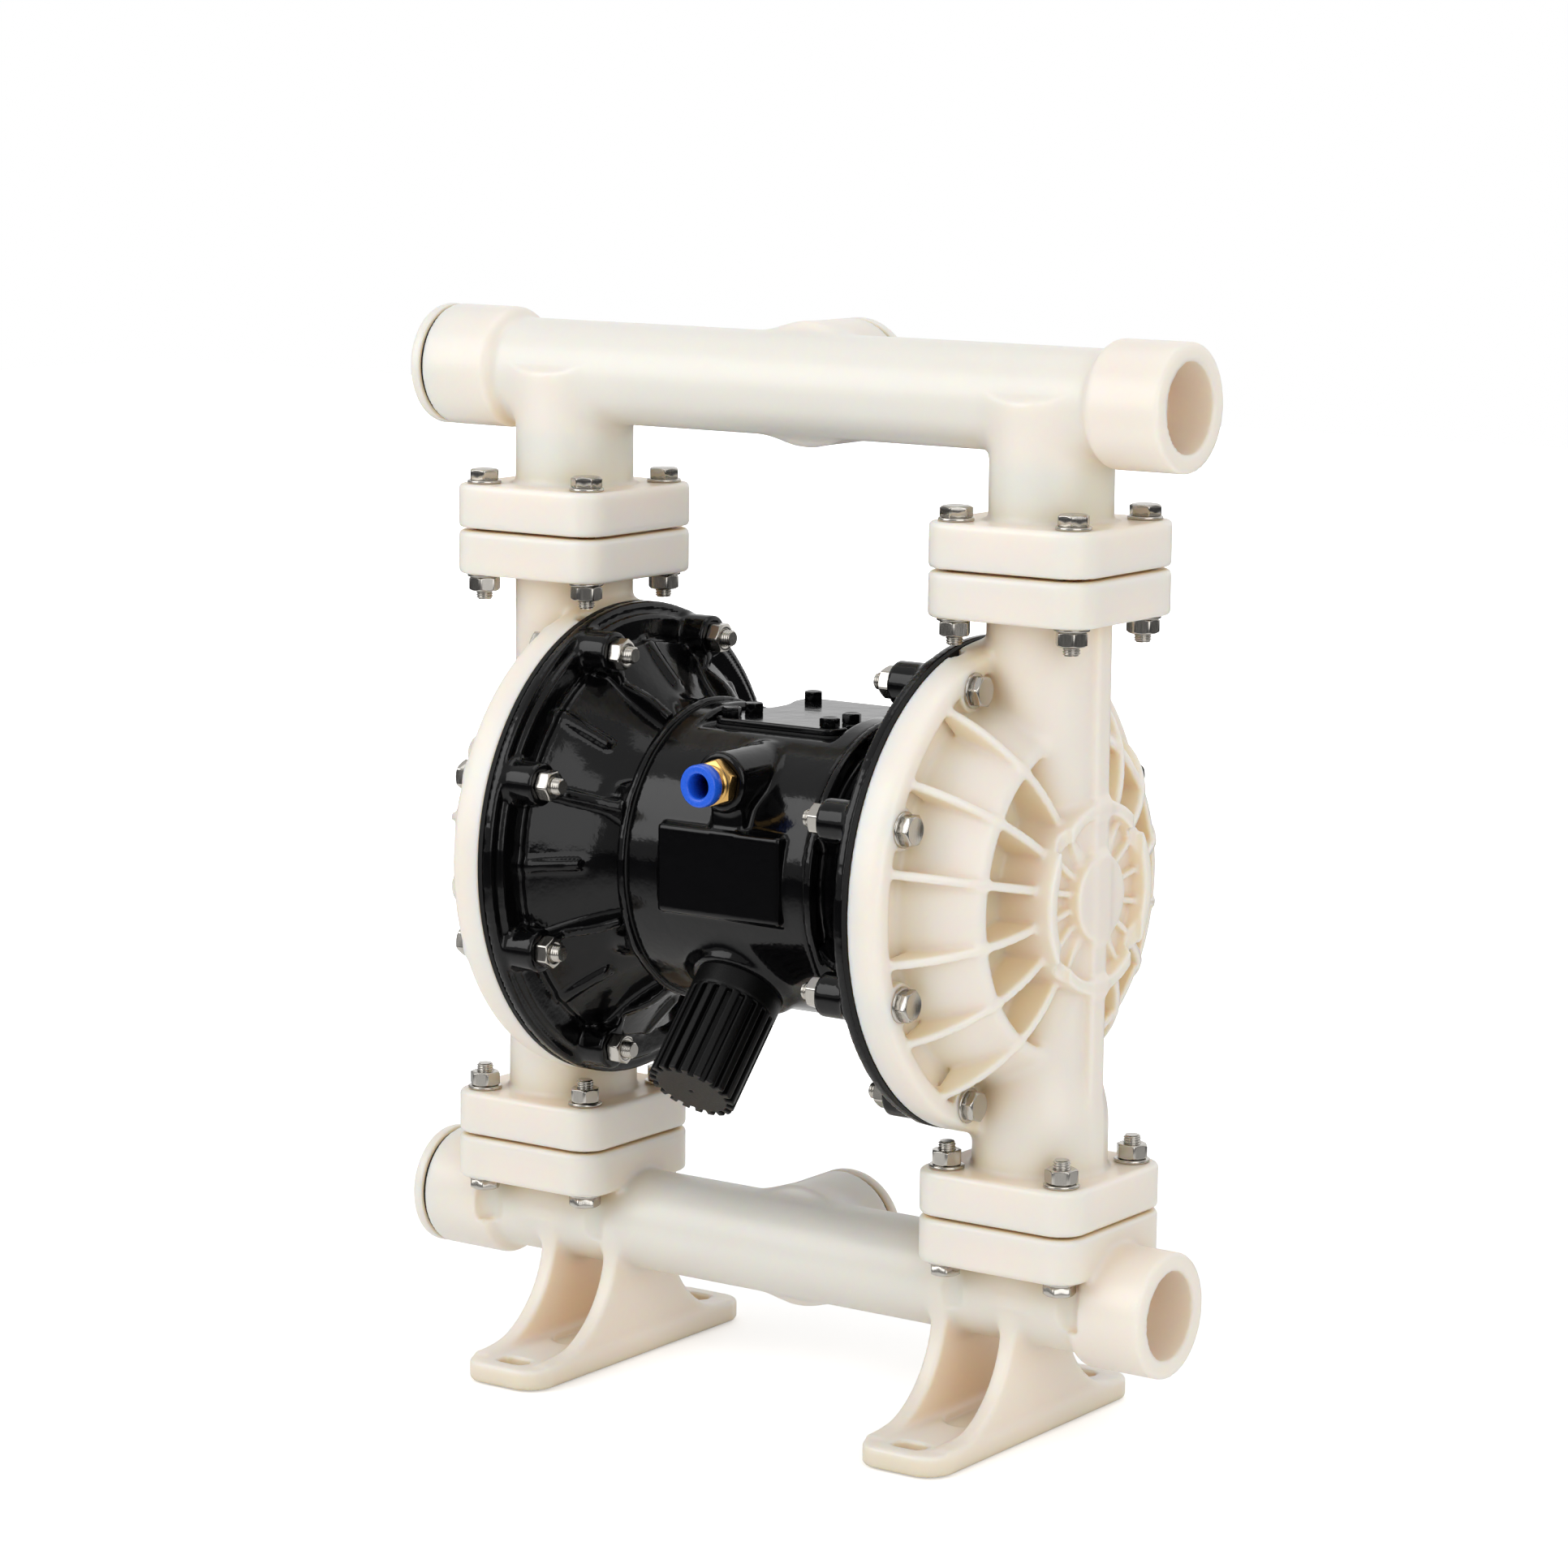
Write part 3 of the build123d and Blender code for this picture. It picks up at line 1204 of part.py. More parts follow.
with BuildPart() as washered_nut:
    with BuildSketch(Plane.XY):
        Circle(washer_diameter / 2)
        Circle(bolt_diameter / 2 + slip_clearance, mode=Mode.SUBTRACT)
    extrude(amount=washer_thickness)
    add(hex_nut.part.moved(Location((0, 0, washer_thickness))))

flange_bolt = hex_bolt(flange_bolt_length)
chamber_bolt = hex_bolt(chamber_bolt_length)
upper_bolt_seat = discharge_joint_z + flange_gap / 2 + flange_thickness
upper_nut_seat = discharge_joint_z - flange_gap / 2 - flange_thickness
lower_nut_seat = suction_joint_z + flange_gap / 2 + flange_thickness
lower_bolt_seat = suction_joint_z - flange_gap / 2 - flange_thickness
with BuildPart() as manifold_bolts:
    with Locations(*[(x, 0, upper_bolt_seat) for x in column_sides]):
        with GridLocations(flange_bolt_pitch, flange_bolt_pitch, 2, 2):
            add(flange_bolt)
    with Locations(*[(x, 0, lower_bolt_seat) for x in column_sides]):
        with GridLocations(flange_bolt_pitch, flange_bolt_pitch, 2, 2):
            add(flange_bolt, rotation=(180, 0, 0))

with BuildPart() as manifold_nuts:
    with Locations(*[(x, 0, upper_nut_seat) for x in column_sides]):
        with GridLocations(flange_bolt_pitch, flange_bolt_pitch, 2, 2):
            add(washered_nut.part, rotation=(180, 0, 0))
    with Locations(*[(x, 0, lower_nut_seat) for x in column_sides]):
        with GridLocations(flange_bolt_pitch, flange_bolt_pitch, 2, 2):
            add(washered_nut.part)

with BuildPart() as chamber_bolts:
    for side in (-1, 1):
        seat = Plane(
            origin=(side * (joint_offset + clamp_flange_thickness), 0, axis_height),
            x_dir=(0, 1, 0),
            z_dir=(side, 0, 0),
        )
        with Locations(seat):
            with PolarLocations(bolt_circle_diameter / 2, clamp_bolt_count, start_angle=bolt_angles):
                add(chamber_bolt)

with BuildPart() as chamber_nuts:
    for side in (-1, 1):
        seat = Plane(
            origin=(side * (air_face_x - nut_seat_depth), 0, axis_height),
            x_dir=(0, 1, 0),
            z_dir=(-side, 0, 0),
        )
        with Locations(seat):
            with PolarLocations(bolt_circle_diameter / 2, clamp_bolt_count, start_angle=bolt_angles):
                add(hex_nut.part)

parts["manifold_bolts"] = manifold_bolts
parts["manifold_nuts"] = manifold_nuts
parts["chamber_bolts"] = chamber_bolts
parts["chamber_nuts"] = chamber_nuts

# ================================================================ air inlet fitting
with BuildPart() as air_fitting_body:
    with BuildSketch(inlet_plane(inlet_boss_end - inlet_thread_depth + 1)):
        Circle(inlet_thread_diameter / 2)
    extrude(amount=inlet_thread_depth - 1)
    with BuildSketch(inlet_plane(inlet_boss_end)):
        RegularPolygon(fitting_hex_flats / 2, 6, major_radius=False)
    extrude(amount=fitting_hex_length)
    with BuildSketch(inlet_plane(inlet_boss_end + fitting_hex_length)):
        Circle(fitting_collar_diameter / 2)
    extrude(amount=fitting_collar_length)
    with BuildSketch(inlet_plane(inlet_boss_end - inlet_thread_depth + 1)):
        Circle(collet_stem_diameter / 2 + running_clearance)
    extrude(amount=inlet_thread_depth + fitting_hex_length + fitting_collar_length, mode=Mode.SUBTRACT)

with BuildPart() as release_collet:
    collet_face = inlet_boss_end + fitting_hex_length + fitting_collar_length + collet_travel + slip_clearance
    with BuildSketch(inlet_plane(collet_face)):
        Circle(collet_diameter / 2)
    extrude(amount=collet_length)
    with BuildSketch(inlet_plane(collet_face - fitting_collar_length - fitting_hex_length)):
        Circle(collet_stem_diameter / 2)
    extrude(amount=fitting_collar_length + fitting_hex_length)
    with BuildSketch(inlet_plane(collet_face - fitting_collar_length - fitting_hex_length)):
        Circle(tube_bore_diameter / 2)
    extrude(
        amount=fitting_collar_length + fitting_hex_length + collet_length,
        mode=Mode.SUBTRACT,
    )

parts["air_fitting_body"] = air_fitting_body
parts["release_collet"] = release_collet

# ================================================================ exhaust silencer
with BuildPart() as muffler_body:
    with BuildSketch(along_muffler(muffler_start)):
        Circle(muffler_diameter / 2)
    extrude(amount=muffler_length)
    with BuildSketch(along_muffler(muffler_start - muffler_thread_length + 1)):
        Circle(muffler_thread_diameter / 2)
    extrude(amount=muffler_thread_length - 1)
    # flutes along the barrel
    with BuildSketch(along_muffler(muffler_start + muffler_collar_length)):
        with PolarLocations(muffler_diameter / 2 - flute_depth / 2 + 1, flute_count):
            Rectangle(flute_depth + 2, flute_width)
    extrude(amount=muffler_length - muffler_collar_length, mode=Mode.SUBTRACT)
    # bore that holds the felt element
    with BuildSketch(along_muffler(muffler_start - muffler_thread_length + 1)):
        Circle(muffler_bore_diameter / 2)
    extrude(amount=muffler_thread_length - 1 + muffler_length - muffler_end_wall, mode=Mode.SUBTRACT)

with BuildPart() as muffler_element:
    with BuildSketch(along_muffler(muffler_start + muffler_collar_length)):
        Circle(muffler_bore_diameter / 2)
        Circle(muffler_bore_diameter / 4, mode=Mode.SUBTRACT)
    extrude(amount=muffler_length - muffler_end_wall - muffler_collar_length)

parts["muffler_body"] = muffler_body
parts["muffler_element"] = muffler_element

# ================================================================ write the parts
os.makedirs("parts", exist_ok=True)
for name, piece in parts.items():
    piece.part.label = name
    export_step(piece.part, f"parts/{name}.step")
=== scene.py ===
# %% [markdown]
# # Air operated diaphragm pump
# Two ivory moulded liquid chambers hang between a suction pipe and a discharge pipe, and a black
# cast air motor between them pushes a shaft to and fro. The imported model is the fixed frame:
# every piece here takes its place from it, in metres, and rides on one of its bodies.

# %% The frame
import json
import bpy
import numpy as np
from mathutils import Matrix


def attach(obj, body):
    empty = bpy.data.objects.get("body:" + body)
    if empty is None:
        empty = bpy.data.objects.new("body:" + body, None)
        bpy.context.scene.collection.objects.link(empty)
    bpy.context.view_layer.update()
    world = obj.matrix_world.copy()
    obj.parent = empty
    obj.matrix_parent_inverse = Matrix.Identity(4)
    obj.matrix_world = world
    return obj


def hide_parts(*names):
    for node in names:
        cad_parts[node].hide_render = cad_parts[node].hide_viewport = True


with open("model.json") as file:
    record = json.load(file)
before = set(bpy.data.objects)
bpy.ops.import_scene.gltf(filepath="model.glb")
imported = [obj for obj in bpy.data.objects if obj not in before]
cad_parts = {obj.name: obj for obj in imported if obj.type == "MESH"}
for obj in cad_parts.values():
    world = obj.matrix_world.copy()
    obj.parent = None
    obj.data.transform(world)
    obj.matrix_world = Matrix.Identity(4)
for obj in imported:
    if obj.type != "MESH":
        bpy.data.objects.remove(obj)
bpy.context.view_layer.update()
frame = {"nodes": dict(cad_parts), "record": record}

nodes = frame["nodes"]

# %% [markdown]
# The castings and mouldings of this pump are one closed skin each, in which every rib runs into
# its neighbour through a small fillet. Lofting such corners by hand takes long and leaves gaps.
# A distance field describes them directly: each form is a function that is negative inside, and
# a soft minimum of two such functions joins them with a fillet. The field is worked out as whole
# arrays in millimetres, about the diaphragm axis.

# %% Joining and cutting distances
def joined(a, b, fillet):
    """Soft minimum: the smaller distance, less a quarter of the fillet where the two are equal."""
    share = np.clip(0.5 + 0.5 * (b - a) / fillet, 0, 1)
    return b + (a - b) * share - fillet * share * (1 - share)


def cut(body, tool, fillet):
    """The body without the tool: the soft maximum of body and minus tool."""
    return -joined(-body, tool, fillet)


def overlap_of(a, b, edge):
    """Common part of two forms, with its edge rounded to a radius: the distance to the corner
    of two planes set back by the radius, less the radius."""
    a, b = a + edge, b + edge
    outside = np.sqrt(np.maximum(a, 0) ** 2 + np.maximum(b, 0) ** 2)
    return np.minimum(np.maximum(a, b), 0) + outside - edge


# %% Flat outlines as lookup tables
def softened(corners):
    """Closed outline whose corners (u, v, radius) are replaced by short arcs of a parabola."""
    corners = np.array(corners, float)
    points, radius = corners[:, :2], corners[:, 2:]
    back, ahead = np.roll(points, 1, 0) - points, np.roll(points, -1, 0) - points
    length_back = np.linalg.norm(back, axis=1, keepdims=True)
    length_ahead = np.linalg.norm(ahead, axis=1, keepdims=True)
    start = points + back / length_back * np.minimum(radius, 0.45 * length_back)
    end = points + ahead / length_ahead * np.minimum(radius, 0.45 * length_ahead)
    t = np.linspace(0, 1, 7)[None, :, None]
    arcs = start[:, None] * (1 - t) ** 2 + 2 * points[:, None] * t * (1 - t) + end[:, None] * t**2
    return arcs.reshape(-1, 2)


def outline(corners, pitch=0.5, margin=14.0):
    """Signed distance to a softened outline, kept on a half-millimetre table and read back
    between its points by weights of the four nearest."""
    loop = softened(corners)
    low = loop.min(0) - margin
    counts = np.ceil((loop.max(0) + margin - low) / pitch).astype(int) + 1
    u = (low[0] + pitch * np.arange(counts[0]))[:, None]
    v = (low[1] + pitch * np.arange(counts[1]))[None, :]
    nearest = np.full(counts, 1e12)
    inside = np.zeros(counts, bool)
    for (ax, ay), (bx, by) in zip(loop, np.roll(loop, -1, 0)):
        ex, ey = bx - ax, by - ay
        if ex * ex + ey * ey < 1e-12:
            continue
        t = np.clip(((u - ax) * ex + (v - ay) * ey) / (ex * ex + ey * ey), 0, 1)
        nearest = np.minimum(nearest, (u - ax - ex * t) ** 2 + (v - ay - ey * t) ** 2)
        if ay != by:
            inside ^= ((ay > v) != (by > v)) & (u < ex * (v - ay) / ey + ax)
    table = np.where(inside, -1, 1) * np.sqrt(nearest)

    def distance(u, v):
        fu = np.clip((u - low[0]) / pitch, 0, counts[0] - 1.001)
        fv = np.clip((v - low[1]) / pitch, 0, counts[1] - 1.001)
        fu, fv = np.broadcast_arrays(fu, fv)
        i, j = fu.astype(int), fv.astype(int)
        a, b = fu - i, fv - j
        low_v = table[i, j] * (1 - a) + table[i + 1, j] * a
        high_v = table[i, j + 1] * (1 - a) + table[i + 1, j + 1] * a
        return low_v * (1 - b) + high_v * b

    return distance


# %% [markdown]
# A skin is drawn over such a field by surface nets. Space is cut into small cubes, each cube the
# skin passes through gets one vertex, and four neighbouring cubes share a quad. Every vertex is
# then pulled along the field's slope onto the exact surface, which removes the steps of the grid.

# %% A skin over a distance field
def slope_of(field, p):
    """Gradient by central differences of a fifth of a millimetre."""
    e = 0.2
    x, y, z = p.T
    return np.stack([
        field(x + e, y, z) - field(x - e, y, z),
        field(x, y + e, z) - field(x, y - e, z),
        field(x, y, z + e) - field(x, y, z - e),
    ], 1) / (2 * e)


def skin(field, low, high, step):
    """Vertices (mm) and quads of the field's zero surface, by surface nets on a regular grid."""
    low = np.array(low, float)
    counts = np.ceil((np.array(high) - low) / step).astype(int) + 1
    xs, ys, zs = (low[k] + step * np.arange(counts[k]) for k in range(3))
    d = np.empty(counts, np.float32)
    for i in range(0, counts[0], 24):
        d[i:i + 24] = field(xs[i:i + 24, None, None], ys[None, :, None], zs[None, None, :])
    cells = np.array(counts) - 1
    total, crossings = np.zeros((*cells, 3), np.float32), np.zeros(cells, np.int16)
    for axis in range(3):
        a = [slice(None)] * 3
        b = [slice(None)] * 3
        a[axis], b[axis] = slice(0, -1), slice(1, None)
        first, second = d[tuple(a)], d[tuple(b)]
        crossed = (first < 0) != (second < 0)
        t = np.where(crossed, first / np.where(crossed, first - second, 1), 0)
        others = [k for k in range(3) if k != axis]
        for da in (0, 1):
            for db in (0, 1):
                part = [slice(None)] * 3
                part[others[0]] = slice(da, cells[others[0]] + da)
                part[others[1]] = slice(db, cells[others[1]] + db)
                hit = crossed[tuple(part)]
                crossings += hit
                total[..., axis] += np.where(hit, t[tuple(part)], 0)
                total[..., others[0]] += hit * da
                total[..., others[1]] += hit * db
    used = crossings > 0
    number = np.full(cells, -1)
    number[used] = np.arange(used.sum())
    corner = np.argwhere(used)
    points = low + step * (corner + total[used] / crossings[used][:, None])
    quads = []
    for axis in range(3):
        n, m = [k for k in range(3) if k != axis]
        a, b = [slice(None)] * 3, [slice(None)] * 3
        a[axis], b[axis] = slice(0, -1), slice(1, None)
        first, second = d[tuple(a)] < 0, d[tuple(b)] < 0
        at = np.argwhere(first != second)
        at = at[(at[:, n] > 0) & (at[:, m] > 0) & (at[:, n] < cells[n]) & (at[:, m] < cells[m])]
        rising = first[tuple(at.T)]
        ring = []
        for dn, dm in ((1, 1), (0, 1), (0, 0), (1, 0)):
            c = at.copy()
            c[:, n] -= dn
            c[:, m] -= dm
            ring.append(number[tuple(c.T)])
        ring = np.stack(ring, 1)
        turned = rising if axis != 1 else ~rising
        ring[~turned] = ring[~turned][:, ::-1]
        quads.append(ring)
    quads = np.concatenate(quads)
    for _ in range(3):
        slope = slope_of(field, points)
        size = np.maximum((slope**2).sum(1), 0.25)
        move = slope * (field(*points.T) / size)[:, None]
        reach = np.linalg.norm(move, axis=1, keepdims=True)
        points = points - move * np.minimum(1, 0.5 * step / np.maximum(reach, 1e-9))
    return points, quads


# %% [markdown]
# Turned and hexagonal parts need no field: they are grids of angle by height. The small helpers
# here turn arrays into an object whose vertices hold its place, in metres.

# %% Arrays into objects
AXIS_Z = 313.0   # height of the diaphragm axis over the floor


def make_piece(name, points, faces, body, material, slot, replaced=(), about_axis=True, smooth=True):
    """One object from points in mm and a face array, riding on a body."""
    points = np.asarray(points, float).copy()
    if about_axis:
        points[:, 2] += AXIS_Z
    mesh = bpy.data.meshes.new(name)
    mesh.from_pydata((points / 1000).tolist(), [], faces.tolist() if hasattr(faces, "tolist") else faces)
    mesh.update()
    mesh.polygons.foreach_set("use_smooth", np.full(len(mesh.polygons), smooth))
    piece = bpy.data.objects.new(name, mesh)
    bpy.context.scene.collection.objects.link(piece)
    mesh.materials.append(material)
    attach(piece, body)
    if replaced:
        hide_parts(*replaced)
    print(name, len(points), "vertices", len(mesh.polygons), "faces")
    return piece


def grid_faces(rows, columns, closed=True):
    """Quads of a grid with rows along and columns round, the columns joined end to end."""
    r = np.arange(rows - 1)[:, None]
    c = np.arange(columns if closed else columns - 1)[None, :]
    n = (c + 1) % columns
    quads = np.stack(np.broadcast_arrays(
        r * columns + c, r * columns + n,
        (r + 1) * columns + n, (r + 1) * columns + c), -1)
    return quads.reshape(-1, 4)


# %% [markdown]
# ## Finishes
# Each material starts from the real one. Colours are written as sRGB hex values.

# %% Helpers for node materials
def from_hex(text):
    """sRGB hex to linear: c/12.92 below 0.04045, else ((c + 0.055) / 1.055) ** 2.4."""
    c = np.array([int(text[i:i + 2], 16) for i in (1, 3, 5)]) / 255
    return (*np.where(c < 0.04045, c / 12.92, ((c + 0.055) / 1.055) ** 2.4), 1.0)


def add(tree, kind, settings=(), inputs=(), **links):
    """A node of one kind with its settings, its constant inputs by name, and links into it."""
    node = tree.nodes.new(kind)
    for key, value in dict(settings).items():
        setattr(node, key, value)
    for key, value in dict(inputs).items():
        node.inputs[key].default_value = value
    for key, source in links.items():
        tree.links.new(source, node.inputs[key.replace("_", " ")])
    return node


def start_material(name):
    """An empty node material with its output, and the object's own coordinates."""
    material = bpy.data.materials.new(name)
    material.use_nodes = True
    tree = material.node_tree
    tree.nodes.clear()
    output = add(tree, "ShaderNodeOutputMaterial")
    place = add(tree, "ShaderNodeTexCoord").outputs["Object"]
    return material, tree, output, place


# %% [markdown]
# The liquid side is natural polypropylene, injection moulded in a polished tool. It is milky:
# light enters, scatters warm and comes out a few millimetres away, so hollows glow cream instead
# of going grey. In narrow hollows the colour is painted shade: an occlusion mask darkens it to a
# deeper cream in place of the light lost there, since full scattering between walls would be slow.
# Its gloss is soft, and a slow waviness from cooling bends the highlights.

# %% Natural polypropylene
def natural_polypropylene():
    material, tree, output, place = start_material("natural_polypropylene")
    cloud = add(tree, "ShaderNodeTexNoise", inputs={"Scale": 9.0, "Detail": 3.0}, Vector=place)
    open_tint = add(tree, "ShaderNodeMix", {"data_type": "RGBA"},
                    {"A": from_hex("#F4EBE4"), "B": from_hex("#F0E7DD")}, Factor=cloud.outputs["Fac"])
    # Painted shade: ambient occlusion mixes the deeper cream #EAD8BB into narrow hollows, standing in for
    # light lost there.
    hollow = add(tree, "ShaderNodeAmbientOcclusion", {"samples": 6}, {"Distance": 0.045})
    painted_shade_openness = add(tree, "ShaderNodeMapRange", inputs={"From Min": 0.25, "From Max": 0.9},
                  Value=hollow.outputs["AO"])
    tint = add(tree, "ShaderNodeMix", {"data_type": "RGBA"}, {"A": from_hex("#EAD8BB")},
               Factor=painted_shade_openness.outputs["Result"])
    tree.links.new(open_tint.outputs["Result"], tint.inputs["B"])
    ripple = add(tree, "ShaderNodeTexNoise", inputs={"Scale": 60.0, "Detail": 2.0}, Vector=place)
    skin_bump = add(tree, "ShaderNodeBump", inputs={"Strength": 0.06, "Distance": 0.001},
                    Height=ripple.outputs["Fac"])
    gloss = add(tree, "ShaderNodeMapRange", inputs={"To Min": 0.26, "To Max": 0.36},
                Value=ripple.outputs["Fac"])
    shader = add(tree, "ShaderNodeBsdfPrincipled",
                 inputs={"IOR": 1.49, "Subsurface Weight": 0.7, "Subsurface Radius": (0.016, 0.010, 0.005),
                         "Subsurface Scale": 1.0, "Coat Weight": 0.0},
                 Base_Color=tint.outputs["Result"], Roughness=gloss.outputs["Result"],
                 Normal=skin_bump.outputs["Normal"])
    tree.links.new(shader.outputs["BSDF"], output.inputs["Surface"])
    return material


polypropylene = natural_polypropylene()


# %% [markdown]
# The air side is die-cast aluminium under black gloss enamel. The enamel is a clear hard gloss
# with a faint orange peel of about two millimetres, and a little dust caught in it.

# %% Black enamel
def black_enamel():
    material, tree, output, place = start_material("black_enamel_on_casting")
    peel = add(tree, "ShaderNodeTexNoise", inputs={"Scale": 420.0, "Detail": 2.0}, Vector=place)
    wave = add(tree, "ShaderNodeTexNoise", inputs={"Scale": 70.0, "Detail": 3.0}, Vector=place)
    first = add(tree, "ShaderNodeBump", inputs={"Strength": 0.10, "Distance": 0.0004},
                Height=peel.outputs["Fac"])
    both = add(tree, "ShaderNodeBump", inputs={"Strength": 0.14, "Distance": 0.002},
               Height=wave.outputs["Fac"], Normal=first.outputs["Normal"])
    gloss = add(tree, "ShaderNodeMapRange", inputs={"To Min": 0.06, "To Max": 0.16},
                Value=wave.outputs["Fac"])
    shader = add(tree, "ShaderNodeBsdfPrincipled", inputs={"Base Color": from_hex("#060607"), "IOR": 1.39},
                 Roughness=gloss.outputs["Result"], Normal=both.outputs["Normal"])
    tree.links.new(shader.outputs["BSDF"], output.inputs["Surface"])
    return material


enamel = black_enamel()


# %% [markdown]
# The remaining finishes are small parts: stainless screws with a drawn, slightly scuffed surface,
# turned brass, moulded blue and black plastics, rubber, sheet gasket and pressed felt.

# %% Metals
def metal(name, colour, low_gloss, high_gloss, scratch):
    """Bare metal: fine noise drawn out along one way for tool marks; scratch is its scale."""
    material, tree, output, place = start_material(name)
    drawn = add(tree, "ShaderNodeMapping", inputs={"Scale": (scratch, scratch, scratch * 0.15)}, Vector=place)
    marks = add(tree, "ShaderNodeTexNoise", inputs={"Scale": 1.0, "Detail": 4.0},
                Vector=drawn.outputs["Vector"])
    gloss = add(tree, "ShaderNodeMapRange", inputs={"To Min": low_gloss, "To Max": high_gloss},
                Value=marks.outputs["Fac"])
    bump = add(tree, "ShaderNodeBump", inputs={"Strength": 0.12, "Distance": 0.0003},
               Height=marks.outputs["Fac"])
    shader = add(tree, "ShaderNodeBsdfPrincipled", inputs={"Base Color": from_hex(colour), "Metallic": 1.0},
                 Roughness=gloss.outputs["Result"], Normal=bump.outputs["Normal"])
    tree.links.new(shader.outputs["BSDF"], output.inputs["Surface"])
    return material


stainless = metal("stainless_steel", "#C4C0B9", 0.12, 0.30, 900.0)
zinc = metal("zinc_plated_steel", "#BFC2C6", 0.25, 0.45, 700.0)
brass = metal("turned_brass", "#D9AE6A", 0.14, 0.30, 800.0)
aluminium = metal("machined_aluminium", "#CFCFCF", 0.25, 0.45, 600.0)


# %% Plastics, rubber and felt
def moulded(name, colour, low_gloss, high_gloss, grain, depth, ior=1.5):
    """Moulded plastic or rubber: a grain of noise whose scale is 1 / grain size, depth in metres."""
    material, tree, output, place = start_material(name)
    noise = add(tree, "ShaderNodeTexNoise", inputs={"Scale": grain, "Detail": 3.0}, Vector=place)
    gloss = add(tree, "ShaderNodeMapRange", inputs={"To Min": low_gloss, "To Max": high_gloss},
                Value=noise.outputs["Fac"])
    bump = add(tree, "ShaderNodeBump", inputs={"Strength": 0.3, "Distance": depth},
               Height=noise.outputs["Fac"])
    shader = add(tree, "ShaderNodeBsdfPrincipled", inputs={"Base Color": from_hex(colour), "IOR": ior},
                 Roughness=gloss.outputs["Result"], Normal=bump.outputs["Normal"])
    tree.links.new(shader.outputs["BSDF"], output.inputs["Surface"])
    return material


blue_plastic = moulded("blue_acetal", "#1F5FE0", 0.22, 0.34, 500.0, 0.0001)
nylon = moulded("black_nylon", "#080808", 0.34, 0.50, 900.0, 0.0002, ior=1.33)
rubber = moulded("black_rubber", "#0C0C0C", 0.55, 0.75, 900.0, 0.0002, ior=1.38)
gasket_sheet = moulded("gasket_sheet", "#1A1A1A", 0.6, 0.8, 700.0, 0.0002)
fluoropolymer = moulded("white_fluoropolymer", "#EFEFEA", 0.35, 0.5, 300.0, 0.0001)
acetal = moulded("natural_acetal", "#E6E2D6", 0.3, 0.45, 400.0, 0.0001)
felt = moulded("pressed_felt", "#BDB5A4", 0.85, 0.95, 1200.0, 0.0006)

finish_of_slot = {
    "ivory_polypropylene": polypropylene, "ivory_plug": polypropylene, "seat_polypropylene": polypropylene,
    "black_enamel": enamel, "stainless_steel": stainless, "zinc_steel": zinc, "brass": brass,
    "bare_aluminium": aluminium, "blue_acetal": blue_plastic, "black_nylon": nylon, "black_rubber": rubber,
    "gasket_sheet": gasket_sheet, "white_ptfe": fluoropolymer, "acetal_bearing": acetal, "felt": felt,
}
slot_of_node = {s["node"]: s["material_slot"] for s in frame["record"]["subparts"]}
for name, node in nodes.items():
    node.data.materials.clear()
    node.data.materials.append(finish_of_slot[slot_of_node[name]])
print("finishes on", len(nodes), "nodes")

# %% [markdown]
# ## Fluid chambers
# A chamber is a dished cover, 278 mm across, stiffened by a ring rib and sixteen curved ribs that
# meet in a spoked hub. All radial detail repeats every 22.5 degrees, so the field folds space
# into one sector.

# %% The chamber's outlines
COLUMN_X = 164.3
JOINT_X = 126.0
TOP_JOINT, LOW_JOINT = 179.15, -181.15     # flange faces, from the diaphragm axis

dish = outline([
    (126, -6, 0), (126, 139, 2), (146.3, 139, 10), (146.3, 127.5, 1.5), (140.3, 127.5, 2), (140.3, 113, 4),
    (161, 106, 22), (180.5, 93, 2), (183, 87, 2), (168, 86, 4), (168, 54.5, 4), (202, 53.5, 1.5),
    (202, 46.5, 1.5), (192, 45.5, 1.5), (192, 25, 1.5), (202, 24, 1.5), (202, -6, 0)])
t = np.linspace(0, 1, 13)
def arc_through(a, m, b, t):
    """Points on the circle through three points, from the first to the last."""
    a, m, b = (np.array(p, float) for p in (a, m, b))
    centre = np.linalg.solve(2 * np.array([m - a, b - a]), [m @ m - a @ a, b @ b - a @ a])
    start, end = (np.arctan2(*(p - centre)[::-1]) for p in (a, b))
    angle = start + (end - start) * t
    return centre + np.linalg.norm(a - centre) * np.stack([np.cos(angle), np.sin(angle)], 1)


crest = arc_through((146.3, 129.5), (180.5, 95), (192.5, 51.5), t)
rib_side = outline([*[(u, v, 0.01) for u, v in crest], (164.5, 51.5, 0.01), (140, 129.5, 0.01)])
spoke_side = outline([(190, 22, 0.01), (196.5, 22, 0.01), (196.5, 49.5, 0.01), (190, 49.5, 0.01)])
column_side = outline([
    (-6, LOW_JOINT, 0), (38, LOW_JOINT, 0), (38, -123, 8), (32.5, -100, 14), (32.5, -60, 14),
    (34.5, 40, 20), (34.5, TOP_JOINT, 0), (-6, TOP_JOINT, 0)])
pumping_space = outline([(120, -6, 0), (120, 109, 0), (136, 107, 8),
    (154, 98, 10), (161, 84, 8), (161, -6, 0)])


def square_plate(x, y, z, half, corner, z_low, z_high, edge):
    """Plate with rounded corners in plan and a rounded edge."""
    qx, qy = np.abs(x) - half + corner, np.abs(y) - half + corner
    plan = (np.sqrt(np.maximum(qx, 0) ** 2 + np.maximum(qy, 0) ** 2)
            + np.minimum(np.maximum(qx, qy), 0) - corner)
    rise = np.abs(z - (z_low + z_high) / 2) - (z_high - z_low) / 2
    return overlap_of(plan, rise, edge)


def bolt_square(x, y):
    """Distance to the nearest of four bolt axes on a 75 mm square."""
    return np.sqrt((np.abs(x) - 37.5) ** 2 + (np.abs(y) - 37.5) ** 2)


